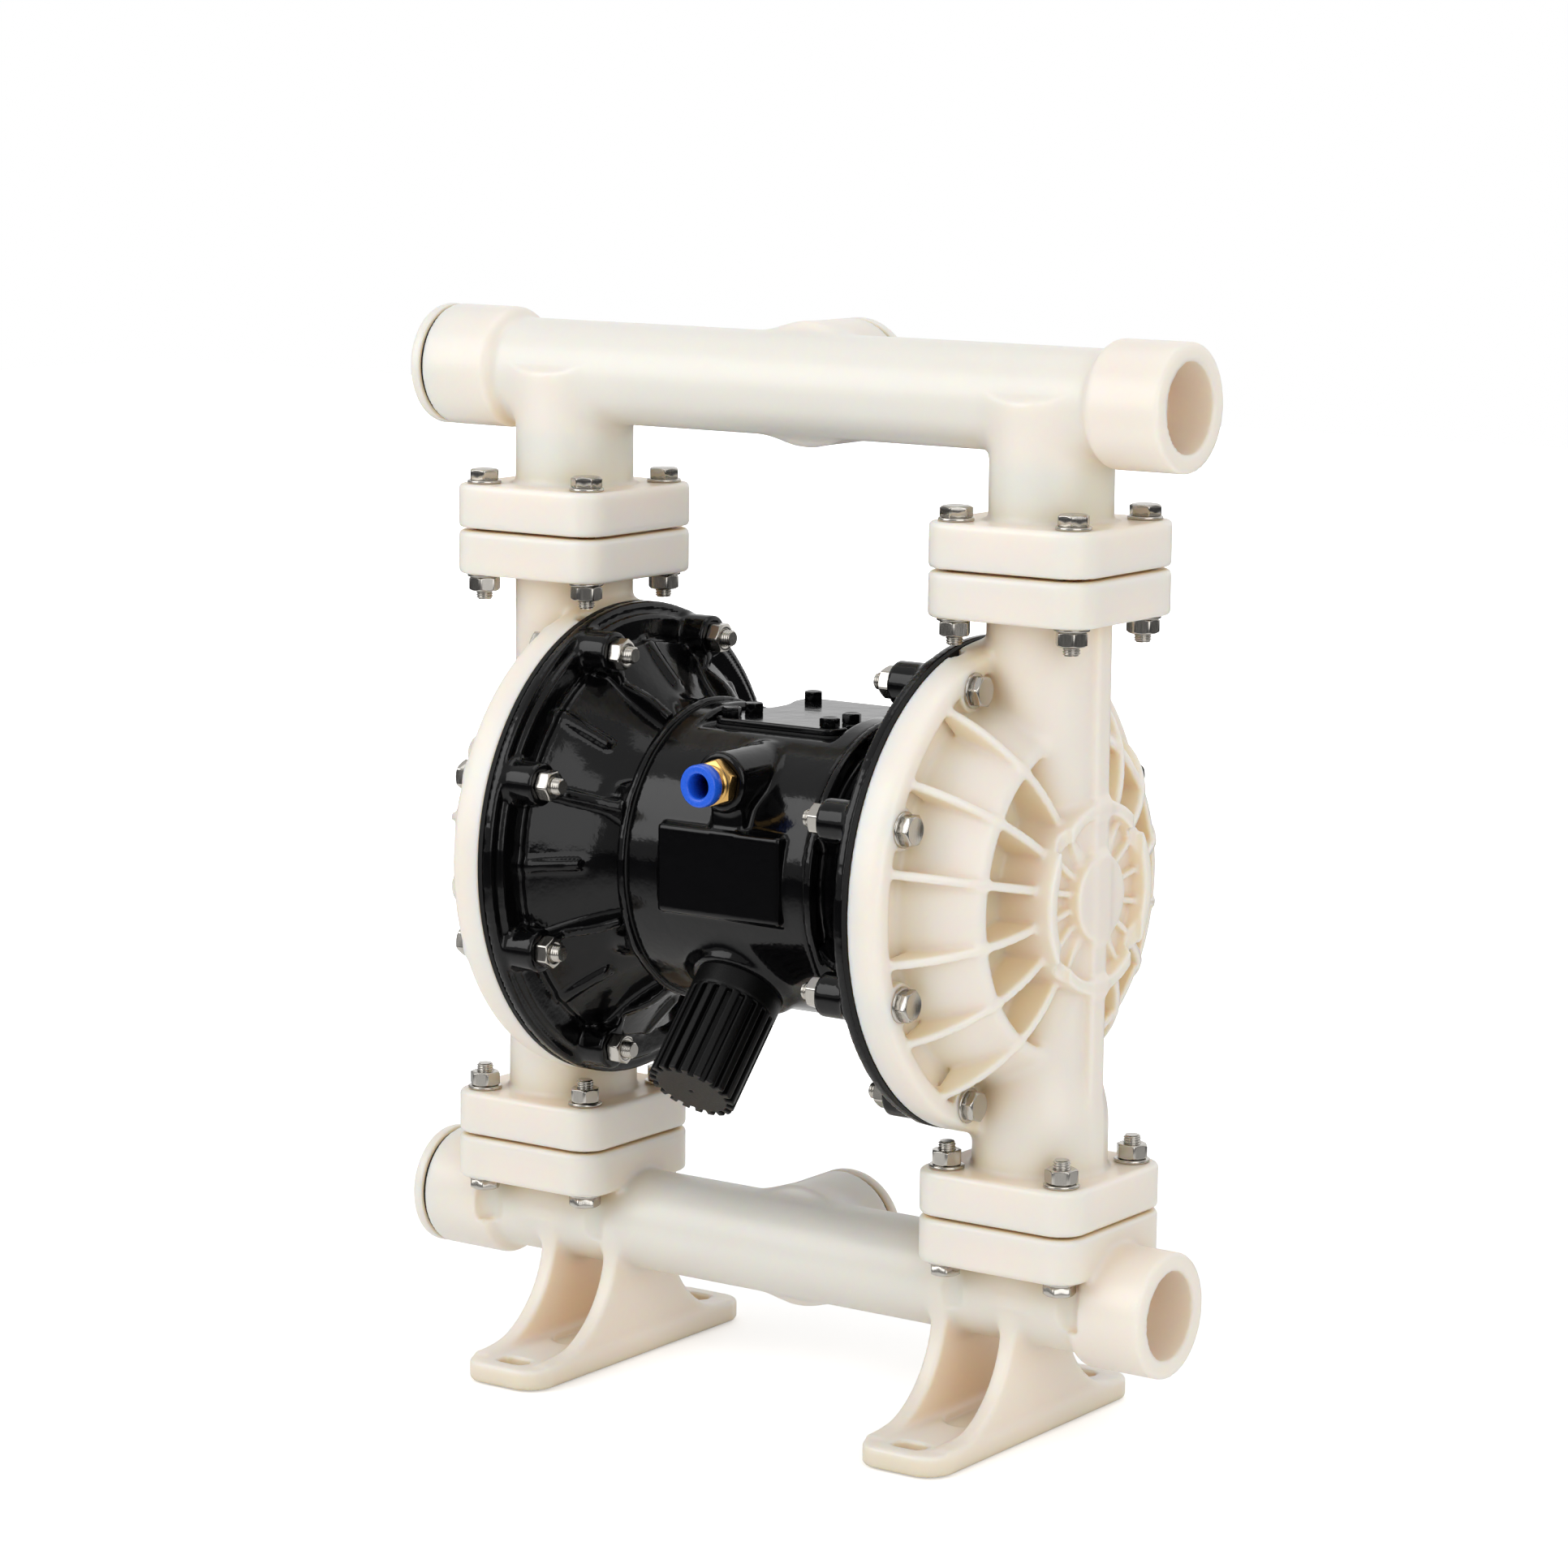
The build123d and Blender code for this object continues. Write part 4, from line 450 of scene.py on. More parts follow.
def ball_cage(x, y, z):
    """Four guide ribs on the bore's wall with stops above the ball; z from the joint's middle."""
    along = np.maximum(np.abs(x + y), np.abs(x - y)) / np.sqrt(2)
    aside = np.minimum(np.abs(x + y), np.abs(x - y)) / np.sqrt(2)
    guide = np.maximum(23.4 - along, 5.75 - z)
    stop = np.maximum(12.0 - along, 50.1 - z)
    return np.maximum(np.maximum(np.minimum(guide, stop), aside - 2.5), np.maximum(along - 31.0, z - 56.1))


# %% The chamber's field and skin
def fluid_chamber(x, y, z):
    r = np.sqrt(y * y + z * z)
    turn = np.arctan2(z, y)
    sector = np.pi / 8
    folded = np.mod(turn, sector) - sector / 2
    along, aside = r * np.cos(folded), r * np.sin(folded)
    body = dish(x, r)
    ribs = overlap_of(rib_side(x, along), np.abs(aside) - 2.5, 1.6)
    spokes = overlap_of(spoke_side(x, along), np.abs(aside) - 1.8, 0.9)
    body = joined(joined(body, ribs, 2.6), spokes, 1.4)
    eighth = np.mod(turn, np.pi / 4) - np.pi / 8
    seat_u, seat_v = r * np.cos(eighth) - 125, r * np.sin(eighth)
    from_bolt = np.sqrt(seat_u**2 + seat_v**2)
    seat = overlap_of(from_bolt - 12, np.maximum(x - 146.3, 128 - x), 1.0)
    body = joined(body, seat, 2.0)
    cx = x - COLUMN_X
    rho = np.sqrt(cx * cx + y * y)
    column = column_side(rho, z)
    fin = overlap_of(np.abs(y) - 7.25, np.maximum(cx - 37.0, -cx), 2.0)
    fin = np.maximum(fin, np.abs(z + 1) - 178)
    column = joined(column, fin, 3.0)
    body = joined(body, column, 6.0)
    for low, high in ((TOP_JOINT - 25.6, TOP_JOINT), (LOW_JOINT, LOW_JOINT + 25.6)):
        body = joined(body, square_plate(cx, y, z, 53, 17, low, high, 3.0), 4.0)
    body = np.maximum(body, np.maximum(z - TOP_JOINT, LOW_JOINT - z))
    # hollows: pumping space, passages, cage bore, seat recesses, bolt holes
    hollow = np.minimum(pumping_space(x, r), rho - 21)
    cage_bore = np.maximum(rho - 29, z + 125.8)
    cage = ball_cage(cx, y, z + 181.9)
    hollow = np.minimum(hollow, np.maximum(cage_bore, -cage))
    recess = np.maximum(rho - 33.2, np.minimum(z - (LOW_JOINT + 5), (TOP_JOINT - 5) - z))
    hollow = np.minimum(hollow, recess)
    holes = np.minimum(bolt_square(cx, y) - 5.5, np.maximum(from_bolt - 5.5, x - 147.5))
    body = cut(body, np.minimum(hollow, holes), 0.6)
    # the square flanges reach further in than the face on the diaphragm
    return np.maximum(body, np.minimum(JOINT_X - x, 150 - np.abs(z)))


chamber_points, chamber_quads = skin(fluid_chamber, (108, -142, -184), (220, 142, 182), 1.7)
MIRRORED = np.array([-1, 1, 1])
make_piece("ribbed_chamber_right", chamber_points, chamber_quads, "housing", polypropylene,
           "ivory_polypropylene", ["right_fluid_chamber"])
make_piece("ribbed_chamber_left", chamber_points * MIRRORED, chamber_quads[:, ::-1], "housing", polypropylene,
           "ivory_polypropylene", ["left_fluid_chamber"])

# %% [markdown]
# ## Air chambers
# Each air chamber is one casting: a stepped rim, a shallow cone that falls to the neck, eight long
# ribs from the nut bosses to the neck ring, eight short ribs between them, and six cast bosses
# around the screws into the centre block. The same folding of space serves here, every 45 degrees
# for the ribs and every 60 degrees for the cast bosses. Depth is counted from the diaphragm.

# %% The air chamber's outlines
AIR_FACE_X, AIR_DEPTH = 123.0, 61.0
cone = arc_through((14, 116), (30.9, 95.4), (52, 79), t)
casting = outline([
    (0, -6, 0), (0, 139, 0.8), (6, 139, 1.6), (6, 132, 1.4), (9, 132, 1.6), (9, 116, 1.2),
    *[(u, v, 0.4) for u, v in cone], (56, 79, 1.5), (56, 88, 1.8), (61, 88, 1.0), (61, -6, 0)])
long_rib = outline([(10, 112, 0.01), (26.8, 112, 1.5), (26.8, 106, 1.5), (43.5, 98, 6),
                    (54, 88, 1), (54, 74, 0.01),
                    (10, 74, 0.01)])
short_rib = outline([(10, 117, 0.01), (14.6, 117, 0.01), (35, 95.5, 1), (37, 77, 0.01), (10, 77, 0.01)])
working_face = outline([(-6, -6, 0), (-6, 110, 0), (0, 110, 0), (24, 70, 0), (24, -6, 0)])


# %% The air chamber's field and skin
def bar_of(side, aside, half, edge):
    """A flat form of a given half thickness, cut from a side view, with rounded edges."""
    return overlap_of(side, np.abs(aside) - half, edge)


def air_chamber(x, y, z):
    d = AIR_FACE_X - x
    r, turn = np.sqrt(y * y + z * z), np.arctan2(z, y)
    eighth = np.mod(turn, np.pi / 4) - np.pi / 8
    between = np.mod(turn + np.pi / 8, np.pi / 4) - np.pi / 8
    ribs = bar_of(long_rib(d, r * np.cos(eighth)), r * np.sin(eighth), 3.0, 1.3)
    gussets = bar_of(short_rib(d, r * np.cos(between)), r * np.sin(between), 3.0, 1.3)
    body = joined(casting(d, r), np.minimum(ribs, gussets), 3.0)
    from_bolt = np.sqrt((r * np.cos(eighth) - 125) ** 2 + (r * np.sin(eighth)) ** 2)
    boss = overlap_of(from_bolt - 12.5, np.abs(d - 13.4) - 12.4, 1.6)
    body = joined(body, boss, 3.5)
    sixth = np.mod(turn - np.radians(34) + np.pi / 6, np.pi / 3) - np.pi / 6
    from_screw = np.sqrt((r * np.cos(sixth) - 74) ** 2 + (r * np.sin(sixth)) ** 2)
    cast_boss = overlap_of(from_screw - 13, np.abs(d - 42) - 18, 1.6)
    body = joined(body, cast_boss, 3.5)
    core = np.maximum(np.maximum(46 - r, r - 63.5), 32 - d)
    pilot = np.sqrt((y + 30) ** 2 + (z - 22) ** 2) - 5
    screws = np.minimum(from_screw - 4.5, np.maximum(from_screw - 7, d - 30))
    holes = np.minimum(np.minimum(core, pilot), np.minimum(r - 13, np.minimum(screws, from_bolt - 5.5)))
    body = cut(body, np.minimum(holes, working_face(d, r)), 0.5)
    return np.maximum(body, np.maximum(-d, d - AIR_DEPTH))


air_points, air_quads = skin(air_chamber, (59, -142, -142), (126, 142, 142), 1.75)
make_piece("cast_air_chamber_right", air_points, air_quads, "housing", enamel, "black_enamel",
           ["right_air_chamber"])
make_piece("cast_air_chamber_left", air_points * MIRRORED, air_quads[:, ::-1],
           "housing", enamel, "black_enamel",
           ["left_air_chamber"])

# %% [markdown]
# ## Centre block
# The block between the chambers is a drum, milled flat on top for the air valve's cover. Bosses
# for the air inlet, the nameplate and the silencer grow out of it with foundry fillets.

# %% The centre block's field and skin
EXHAUST = np.array([0, -np.cos(np.radians(48)), -np.sin(np.radians(48))])
INLET_X, INLET_Z = 8.0, 57.0


def box(x, y, z, middle, half, edge):
    """Box with rounded edges, from its middle and half lengths."""
    q = [np.abs(v - m) - h + edge for v, m, h in zip((x, y, z), middle, half)]
    outside = np.sqrt(sum(np.maximum(v, 0) ** 2 for v in q))
    return outside + np.minimum(np.maximum(np.maximum(q[0], q[1]), q[2]), 0) - edge


def along_exhaust(x, y, z):
    """Distance along the silencer's axis, and distance from it."""
    along = y * EXHAUST[1] + z * EXHAUST[2]
    return along, np.sqrt(x * x + (y * EXHAUST[2] - z * EXHAUST[1]) ** 2)


def middle_block(x, y, z):
    r = np.sqrt(y * y + z * z)
    body = overlap_of(r - 86, np.abs(x) - 61, 1.6)
    valve_house = box(x, y, z, (0, 37, 61.5), (52, 37, 15.5), 4)
    body = joined(body, valve_house, 5)
    body = cut(body, box(x, y, z, (0, 0, 97), (47, 110, 20), 2), 2.5)
    pad = box(x, y, z, (4.8, -66, 3.55), (41.8, 23, 24.95), 1.8)
    web = box(x, y, z, (INLET_X, -60, 38), (11.5, 26, 18), 4)
    from_inlet = np.sqrt((x - INLET_X) ** 2 + (z - INLET_Z) ** 2)
    boss = overlap_of(from_inlet - 16.8, np.abs(y + 68) - 24, 2.2)
    body = joined(body, joined(boss, web, 5), 4.5)
    body = joined(body, pad, 3.0)
    along, from_exhaust = along_exhaust(x, y, z)
    seat = overlap_of(from_exhaust - 29, np.abs(along - 68) - 20, 1.6)
    body = joined(body, seat, 10)
    plenum = box(x, y, z, (0, 20, 65), (26, 30, 15), 3)
    inlet = np.minimum(np.maximum(from_inlet - 10.5, y + 78), np.maximum(from_inlet - 7, y + 9))
    bores = np.minimum(r - 13, np.maximum(r - 17, 37 - np.abs(x)))
    bores = np.minimum(bores, np.sqrt((y - 19) ** 2 + (z - 46) ** 2) - 15)
    bores = np.minimum(bores, np.sqrt((y + 30) ** 2 + (z - 22) ** 2) - 7)
    core = np.maximum(np.maximum(46 - r, r - 68.5), np.maximum(z + 12, 23 - np.abs(x)))
    outlet = np.minimum(np.maximum(from_exhaust - 16.5, 72 - along),
                         np.maximum(from_exhaust - 10, 60.5 - along))
    crossing = np.sqrt((y - 60.5 * EXHAUST[1]) ** 2 + (z - 60.5 * EXHAUST[2]) ** 2) - 10
    turn = np.arctan2(z, y)
    sixth = np.mod(turn - np.radians(34) + np.pi / 6, np.pi / 3) - np.pi / 6
    screws = np.sqrt((r * np.cos(sixth) - 74) ** 2 + (r * np.sin(sixth)) ** 2) - 4
    screws = np.maximum(screws, 43 - np.abs(x))
    cover_rows = np.minimum(np.minimum(np.abs(y + 22), np.abs(y)), np.abs(y - 60))
    taps = np.maximum(np.sqrt((np.abs(x) - 34) ** 2 + cover_rows**2) - 3, 63 - z)
    for hollow in (plenum, inlet, bores, core, outlet, crossing, screws, taps):
        body = cut(body, hollow, 0.5)
    return np.maximum(body, np.abs(x) - 61)


block_points, block_quads = skin(middle_block, (-63, -95, -89), (63, 89, 89), 1.5)
make_piece("cast_centre_block", block_points, block_quads, "housing", enamel, "black_enamel",
           ["center_block"])


# %% The valve cover
def cover_plate(x, y, z):
    """Plate with an ear at each screw: rounded rectangle less four hollows, with a soft edge."""
    qx, qy = np.abs(x) - 42.5 + 8, np.abs(y - 19) - 49.5 + 8
    plan = np.sqrt(np.maximum(qx, 0) ** 2 + np.maximum(qy, 0) ** 2) + np.minimum(np.maximum(qx, qy), 0) - 8
    plan = cut(plan, np.sqrt((np.abs(x) - 78) ** 2 + (y - 30) ** 2) - 41.5, 3)
    plan = cut(plan, np.sqrt((np.abs(x) - 42.5) ** 2 + (y + 11) ** 2) - 4.2, 3)
    plate = overlap_of(plan, np.abs(z - 80) - 2, 0.9)
    rows = np.minimum(np.minimum(np.abs(y + 22), np.abs(y)), np.abs(y - 60))
    return cut(plate, np.sqrt((np.abs(x) - 34) ** 2 + rows**2) - 3.2, 0.3)


cover_points, cover_quads = skin(cover_plate, (-45, -33, 76.5), (45, 71, 83.5), 0.8)
make_piece("cast_valve_cover", cover_points, cover_quads, "housing", enamel, "black_enamel", ["valve_cover"])

# %% [markdown]
# ## Manifolds
# Two moulded pipes join the columns: the discharge pipe above, and below it the suction pipe that
# also carries the pump on two webbed feet. Each ends in thick sockets, and a stub leaves the back.

# %% The manifolds' fields and skins
pipe_side = outline([(-6, -6, 0), (-6, 29.5, 0), (201, 29.5, 5), (206, 35.5, 3),
    (251, 35.5, 2.2), (251, -6, 0)])
FOOT_X = 139.0


def pipe(x, y, z, plate_low, plate_high, neck_to, neck_radius):
    """Pipe with end sockets, rear stub, necks and square flanges; z from the pipe's axis."""
    across = np.sqrt(y * y + z * z)
    body = pipe_side(np.abs(x), across)
    stub = overlap_of(np.sqrt(x * x + z * z) - 35.5, np.abs(y - 24) - 24, 2.2)
    body = joined(body, stub, 9)
    cx = np.abs(x) - COLUMN_X
    neck = np.maximum(np.sqrt(cx * cx + y * y) - neck_radius,
                      np.maximum(min(0, neck_to) - z, z - max(0, neck_to)))
    body = joined(body, neck, 9)
    return joined(body, square_plate(cx, y, z, 53, 17, plate_low, plate_high, 2.6), 4)


def pipe_bore(x, y, z, neck_to):
    """The liquid's way: bore, sockets, rear stub and the passages through the necks."""
    across = np.sqrt(y * y + z * z)
    way = np.minimum(np.maximum(across - 22, np.abs(x) - 252), np.maximum(across - 25.1, 221 - np.abs(x)))
    way = np.minimum(way, np.maximum(np.sqrt(x * x + z * z) - 22, -y))
    rho = np.sqrt((np.abs(x) - COLUMN_X) ** 2 + y * y)
    return np.minimum(way, np.maximum(rho - 21, np.maximum(min(0, neck_to) - 9 - z, z - max(0, neck_to) - 9)))


def discharge_pipe(x, y, z):
    z = z - 271.8
    low, high = 180.65 - 271.8, 206.25 - 271.8
    body = pipe(x, y, z, low, high, low, 34.5)
    cx = np.abs(x) - COLUMN_X
    rho = np.sqrt(cx * cx + y * y)
    rise = z - (179.9 - 271.8)
    bore = np.maximum(np.maximum(rho - 29, rise - 56.1), -ball_cage(cx, y, rise))
    hollow = np.minimum(pipe_bore(x, y, z, low), bore)
    hollow = np.minimum(hollow, np.maximum(rho - 33.2, rise - 5.75))
    hollow = np.minimum(hollow, np.maximum(bolt_square(cx, y) - 5.5, z - high - 1))
    return np.maximum(cut(body, hollow, 0.6), low - z)


def foot(x, y, z):
    """Foot plate, two curved webs and the recess between them; z from the floor."""
    fx = np.abs(x) - FOOT_X
    qx, qy = np.abs(fx) - 28 + 16, np.abs(y) - 106 + 16
    plan = np.sqrt(np.maximum(qx, 0) ** 2 + np.maximum(qy, 0) ** 2) + np.minimum(np.maximum(qx, qy), 0) - 16
    plate = overlap_of(plan, np.abs(z - 6) - 6, 2.2)
    hollow_side = 62 - np.sqrt((np.abs(y) - 27.25 - 62) ** 2 + (z - 74) ** 2)
    side = np.maximum(np.where(z > 74, np.abs(y) - 27.25, hollow_side), np.abs(y) - 89.25)
    web = overlap_of(np.maximum(side, np.maximum(4 - z, z - 84)),
                     np.abs(np.abs(fx) - 23) - 5, 2.0)
    body = joined(plate, web, 6)
    recess = np.maximum(np.sqrt(fx**2 + np.maximum(np.abs(y) - 29, 0) ** 2) - 14, 9 - z)
    recess = np.maximum(recess, z - 30)
    slot = np.sqrt(np.maximum(np.abs(fx) - 4, 0) ** 2 + (np.abs(y) - 89) ** 2) - 6.5
    return cut(cut(body, recess, 1.5), np.maximum(slot, z - 20), 0.8)


def suction_pipe(x, y, z):
    floor_z = z + AXIS_Z
    z = z + 229.0
    low, high = 229 - 208.25, 229 - 182.65
    body = pipe(x, y, z, low, high, high, 28.0)
    body = joined(body, foot(x, y, floor_z), 7)
    cx = np.abs(x) - COLUMN_X
    rho = np.sqrt(cx * cx + y * y)
    hollow = np.minimum(pipe_bore(x, y, z, high), np.maximum(rho - 33.2, high - 5 - z))
    holes = np.minimum(np.maximum(bolt_square(cx, y) - 5.5, low - 1 - z),
                       np.maximum(bolt_square(cx, y) - 10.5, np.maximum(z - low, low - 30 - z)))
    return np.maximum(cut(body, np.minimum(hollow, holes), 0.6), np.maximum(z - high, -floor_z))


discharge_points, discharge_quads = skin(discharge_pipe, (-254, -56, 178), (254, 56, 310), 2.0)
make_piece("moulded_discharge_pipe", discharge_points, discharge_quads, "housing", polypropylene,
           "ivory_polypropylene", ["discharge_manifold"])
suction_points, suction_quads = skin(suction_pipe, (-254, -109, -316), (254, 109, -180), 2.0)
make_piece("moulded_suction_pipe", suction_points, suction_quads, "housing", polypropylene,
           "ivory_polypropylene", ["suction_manifold"])

# %% [markdown]
# ## Turned and hexagonal parts
# A bolt, a nut, a plug or a fitting is a turned profile. Where it has spanner flats, its radius is
# the smaller of the turned radius and the hexagon's, which also draws the curved chamfer lines on
# a bolt's corners. A thread is the same profile with a wave that runs round as it climbs.

# %% Turned forms
def turned(profile, columns=48):
    """Closed grid about +Z from rows (height, radius, flats): the radius is the smaller of the
    turned one and the hexagon's, a / cos(angle to the nearest flat); no flats means round."""
    rows = np.array([(*row, 0.0) if len(row) == 2 else row for row in profile], float)
    angle = np.arange(columns) * 2 * np.pi / columns
    off_flat = np.mod(angle, np.pi / 3) - np.pi / 6
    hexagon = rows[:, 2:3] / 2 / np.cos(off_flat)[None, :]
    radius = np.where(rows[:, 2:3] > 0, np.minimum(rows[:, 1:2], hexagon), rows[:, 1:2])
    points = np.stack([radius * np.cos(angle), radius * np.sin(angle), rows[:, :1] + 0 * radius], -1)
    return points.reshape(-1, 3), grid_faces(len(rows), columns)


def threaded(low, high, radius, pitch=1.5, depth=0.85, columns=36):
    """Thread about +Z: the radius falls by a triangular wave of (height / pitch - angle / full turn)."""
    rows = int(np.ceil((high - low) / pitch * 6)) + 1
    height = np.linspace(low, high, rows)[:, None]
    angle = np.arange(columns)[None, :] * 2 * np.pi / columns
    wave = np.abs(np.mod(height / pitch - angle / (2 * np.pi), 1) * 2 - 1)
    chamfer = np.maximum(0, 1.0 - (high - height)) * 0.9
    r = radius - depth * wave - chamfer
    points = np.stack([r * np.cos(angle), r * np.sin(angle), height + 0 * angle], -1).reshape(-1, 3)
    return points, grid_faces(rows, columns)


def together(*parts):
    """Several point and face arrays as one."""
    shift = np.cumsum([0] + [len(points) for points, _ in parts[:-1]])
    return np.concatenate([p for p, _ in parts]), np.concatenate([f + s for (_, f), s in zip(parts, shift)])


def placed(part, frames):
    """Copies of a part at frames (origin, x axis, z axis)."""
    points, faces = part
    copies = []
    for origin, x_axis, z_axis in frames:
        x_axis, z_axis = np.array(x_axis, float), np.array(z_axis, float)
        columns = np.stack([x_axis, np.cross(z_axis, x_axis), z_axis], 1)
        copies.append((points @ columns.T + origin, faces))
    return together(*copies)


EMPTY = 0.02    # radius of the pin-hole that closes a turned end


def bolt_head(flats, height):
    """Hexagon head on z = 0 with a 30 degree chamfer and a shallow dish on top."""
    a = flats / 2
    rows = [(0, EMPTY), (0, a * 0.97), (0.25, a * 1.2, flats)]
    rows += [(height - k * 0.24, a * 0.93 + k * 0.24 * 1.75, flats) for k in range(6, -1, -1)]
    return rows + [(height, a * 0.9), (height - 0.25, a * 0.8), (height - 0.3, EMPTY)]


def washer_rows(low, thickness, radius, hole):
    return [(low, hole), (low, radius - 0.5), (low + 0.3, radius), (low + thickness - 0.4, radius),
            (low + thickness, radius - 0.5), (low + thickness, hole), (low, hole)]


def m10_bolt(length, threaded_from):
    """Washer on z = 0, head above it, shank and thread below; lengths under the head."""
    head_points, head_faces = turned(bolt_head(16.0, 6.4), 72)
    head = (head_points + (0, 0, 2.0), head_faces)
    washer = turned(washer_rows(0, 2.0, 10.0, 5.2), 48)
    end = 2.0 - length
    shank = turned([(end + threaded_from, EMPTY), (end + threaded_from, 4.9), (2.3, 4.9)], 36)
    thread_points, thread_faces = threaded(0, threaded_from, 5.0)
    thread = (thread_points * (1, -1, -1) + (0, 0, end + threaded_from), thread_faces)
    tip = turned([(end, EMPTY), (end, 4.0)], 36)
    return together(head, washer, shank, thread, tip)


def nut_rows(low, height, flats=16.0, hole=4.6):
    """Hexagon nut with both ends chamfered and a countersunk thread hole."""
    a = flats / 2
    rows = [(low + 0.6, hole), (low, hole + 0.6), (low, a * 0.93)]
    rows += [(low + k * 0.24, a * 0.93 + k * 0.24 * 1.75, flats) for k in range(1, 6)]
    rows += [(low + height - k * 0.24, a * 0.93 + k * 0.24 * 1.75, flats) for k in range(5, 0, -1)]
    return rows + [(low + height, a * 0.93), (low + height, hole + 0.6),
                   (low + height - 0.6, hole), (low + 0.6, hole)]


# %% Chamber and flange fasteners
UP, DOWN = (0, 0, 1), (0, 0, -1)
around = np.radians(22.5 + 45 * np.arange(8))
rng = np.random.default_rng(11)


def spun(z_axis):
    """A direction square to an axis, turned by chance, as a wrench leaves each hexagon."""
    z_axis = np.array(z_axis, float)
    first = np.cross(z_axis, (0, 1, 0) if abs(z_axis[1]) < 0.9 else (1, 0, 0))
    angle = rng.uniform(0, np.pi / 3)
    return first * np.cos(angle) + np.cross(z_axis, first) * np.sin(angle)


def on_circle(x, outward):
    """Frames of one chamber's eight bolts at a distance from the centre plane."""
    return [((side * x, 125 * np.cos(a), 125 * np.sin(a)),
             spun((side * outward, 0, 0)), (side * outward, 0, 0))
            for side in (-1, 1) for a in around]


def on_flanges(z, z_axis):
    return [((side * COLUMN_X + u, v, z), spun(z_axis), z_axis)
            for side in (-1, 1) for u in (-37.5, 37.5) for v in (-37.5, 37.5)]


chamber_bolt = m10_bolt(65.0, 22.0)
flange_bolt = m10_bolt(70.0, 24.0)
plain_nut = turned(nut_rows(0, 8.4), 72)
washered_nut = together(turned(washer_rows(0, 2.0, 10.0, 5.2), 48), turned(nut_rows(2.0, 8.4), 72))
make_piece("chamber_bolt_set", *placed(chamber_bolt, on_circle(146.3, 1)), "housing", stainless,
           "stainless_steel", ["chamber_bolts"])
make_piece("chamber_nut_set", *placed(plain_nut, on_circle(97.2, -1)), "housing", stainless,
           "stainless_steel", ["chamber_nuts"])
flange_bolts = together(placed(flange_bolt, on_flanges(206.25, UP)),
                        placed(flange_bolt, on_flanges(-208.25, DOWN)))
make_piece("flange_bolt_set", *flange_bolts, "housing", stainless, "stainless_steel", ["manifold_bolts"])
flange_nuts = together(placed(washered_nut, on_flanges(153.55, DOWN)),
                       placed(washered_nut, on_flanges(-155.55, UP)))
make_piece("flange_nut_set", *flange_nuts, "housing", stainless, "stainless_steel", ["manifold_nuts"])

cover_screw = together(
    turned(bolt_head(10.0, 5.5), 72),
    turned([(-18.0, EMPTY), (-18.0, 2.9), (0.3, 2.9)], 24))
cover_places = [((x, y, 82.0), spun(UP), UP) for x in (-34, 34) for y in (-22, 0, 60)]
make_piece("cover_screw_set", *placed(cover_screw, cover_places), "housing", enamel, "black_enamel",
           ["valve_cover_screws"])

# %% Air inlet fitting
INLET_WAY = (0, -1, 0)
inlet_origin = (INLET_X, -92.0, INLET_Z)
fitting = turned([
    (-13.0, 8.6), (-13.0, 9.6), (-12.2, 10.4), (0.0, 10.4), (0.0, 11.6)] +
    [(k * 0.25, 11.6 + k * 0.42, 24.0) for k in range(1, 7)] +
    [(7.5 - k * 0.25, 11.2 + k * 0.42, 24.0) for k in range(7, 0, -1)] +
    [(7.5, 11.2), (7.5, 10.0), (9.2, 10.0), (9.5, 9.6), (10.1, 9.6), (10.4, 10.0), (11.6, 10.0), (12.0, 9.6),
     (12.0, 8.6), (-13.0, 8.6)], 72)
make_piece("brass_inlet_fitting", *placed(fitting, [(inlet_origin, (0.94, 0, 0.342), INLET_WAY)]),
           "housing", brass,
           "brass", ["air_fitting_body"])
collet_rows = [(13.4, 8.4), (13.4, 11.3), (13.9, 12.0), (19.6, 12.0), (20.3, 11.8),
               (20.75, 11.2), (20.8, 10.8),
               (20.8, 8.4), (20.5, 7.6), (19.9, 7.1), (18.8, 7.0), (1.4, 7.0), (1.4, 8.4), (13.4, 8.4)]
make_piece("blue_release_collet", *placed(turned(collet_rows, 96), [(inlet_origin, (1, 0, 0), INLET_WAY)]),
           "collet",
           blue_plastic, "blue_acetal", ["release_collet"])

# %% Port plugs and their rings
plug_rows = [(0, EMPTY), (0, 34.4), (0.5, 35.2), (1.3, 35.5), (4.6, 35.5), (6.0, 35.0),
             (6.8, 34.0), (7.0, 32.6),
             (7.0, 24.0), (6.4, 23.0), (6.4, EMPTY)]
side_plug = together(turned(plug_rows, 96),
                     turned([(-20.2, EMPTY), (-20.2, 24.4), (-19.7, 24.9), (0.2, 24.9)], 96))
back_plug = together(turned(plug_rows, 96),
                     turned([(-11.2, EMPTY), (-11.2, 21.3), (-10.7, 21.8), (0.2, 21.8)], 96))
plug_ring = turned([(0.0, 25.1), (0.0, 33.0), (0.5, 33.5), (1.7, 33.5),
                    (2.2, 33.0), (2.2, 25.1), (0.0, 25.1)], 96)
LEFT, BACK = (-1, 0, 0), (0, 1, 0)
levels = (271.8, -229.0)
make_piece("side_plug_pair", *placed(side_plug, [((-253.2, 0, z), UP, LEFT) for z in levels]), "housing",
           polypropylene, "ivory_plug", ["side_port_plugs"])
make_piece("back_plug_pair", *placed(back_plug, [((0, 50.2, z), UP, BACK) for z in levels]), "housing",
           polypropylene, "ivory_plug", ["back_port_plugs"])
rings = [((-251.0, 0, z), UP, LEFT) for z in levels] + [((0, 48.0, z), UP, BACK) for z in levels]
make_piece("plug_ring_set", *placed(plug_ring, rings), "housing", rubber, "black_rubber", ["port_plug_rings"])

# %% [markdown]
# ## Silencer
# The silencer is a moulded nylon barrel with twenty square flutes that open through its end disc.
# Its field is drawn along its own axis and then laid along the exhaust's.

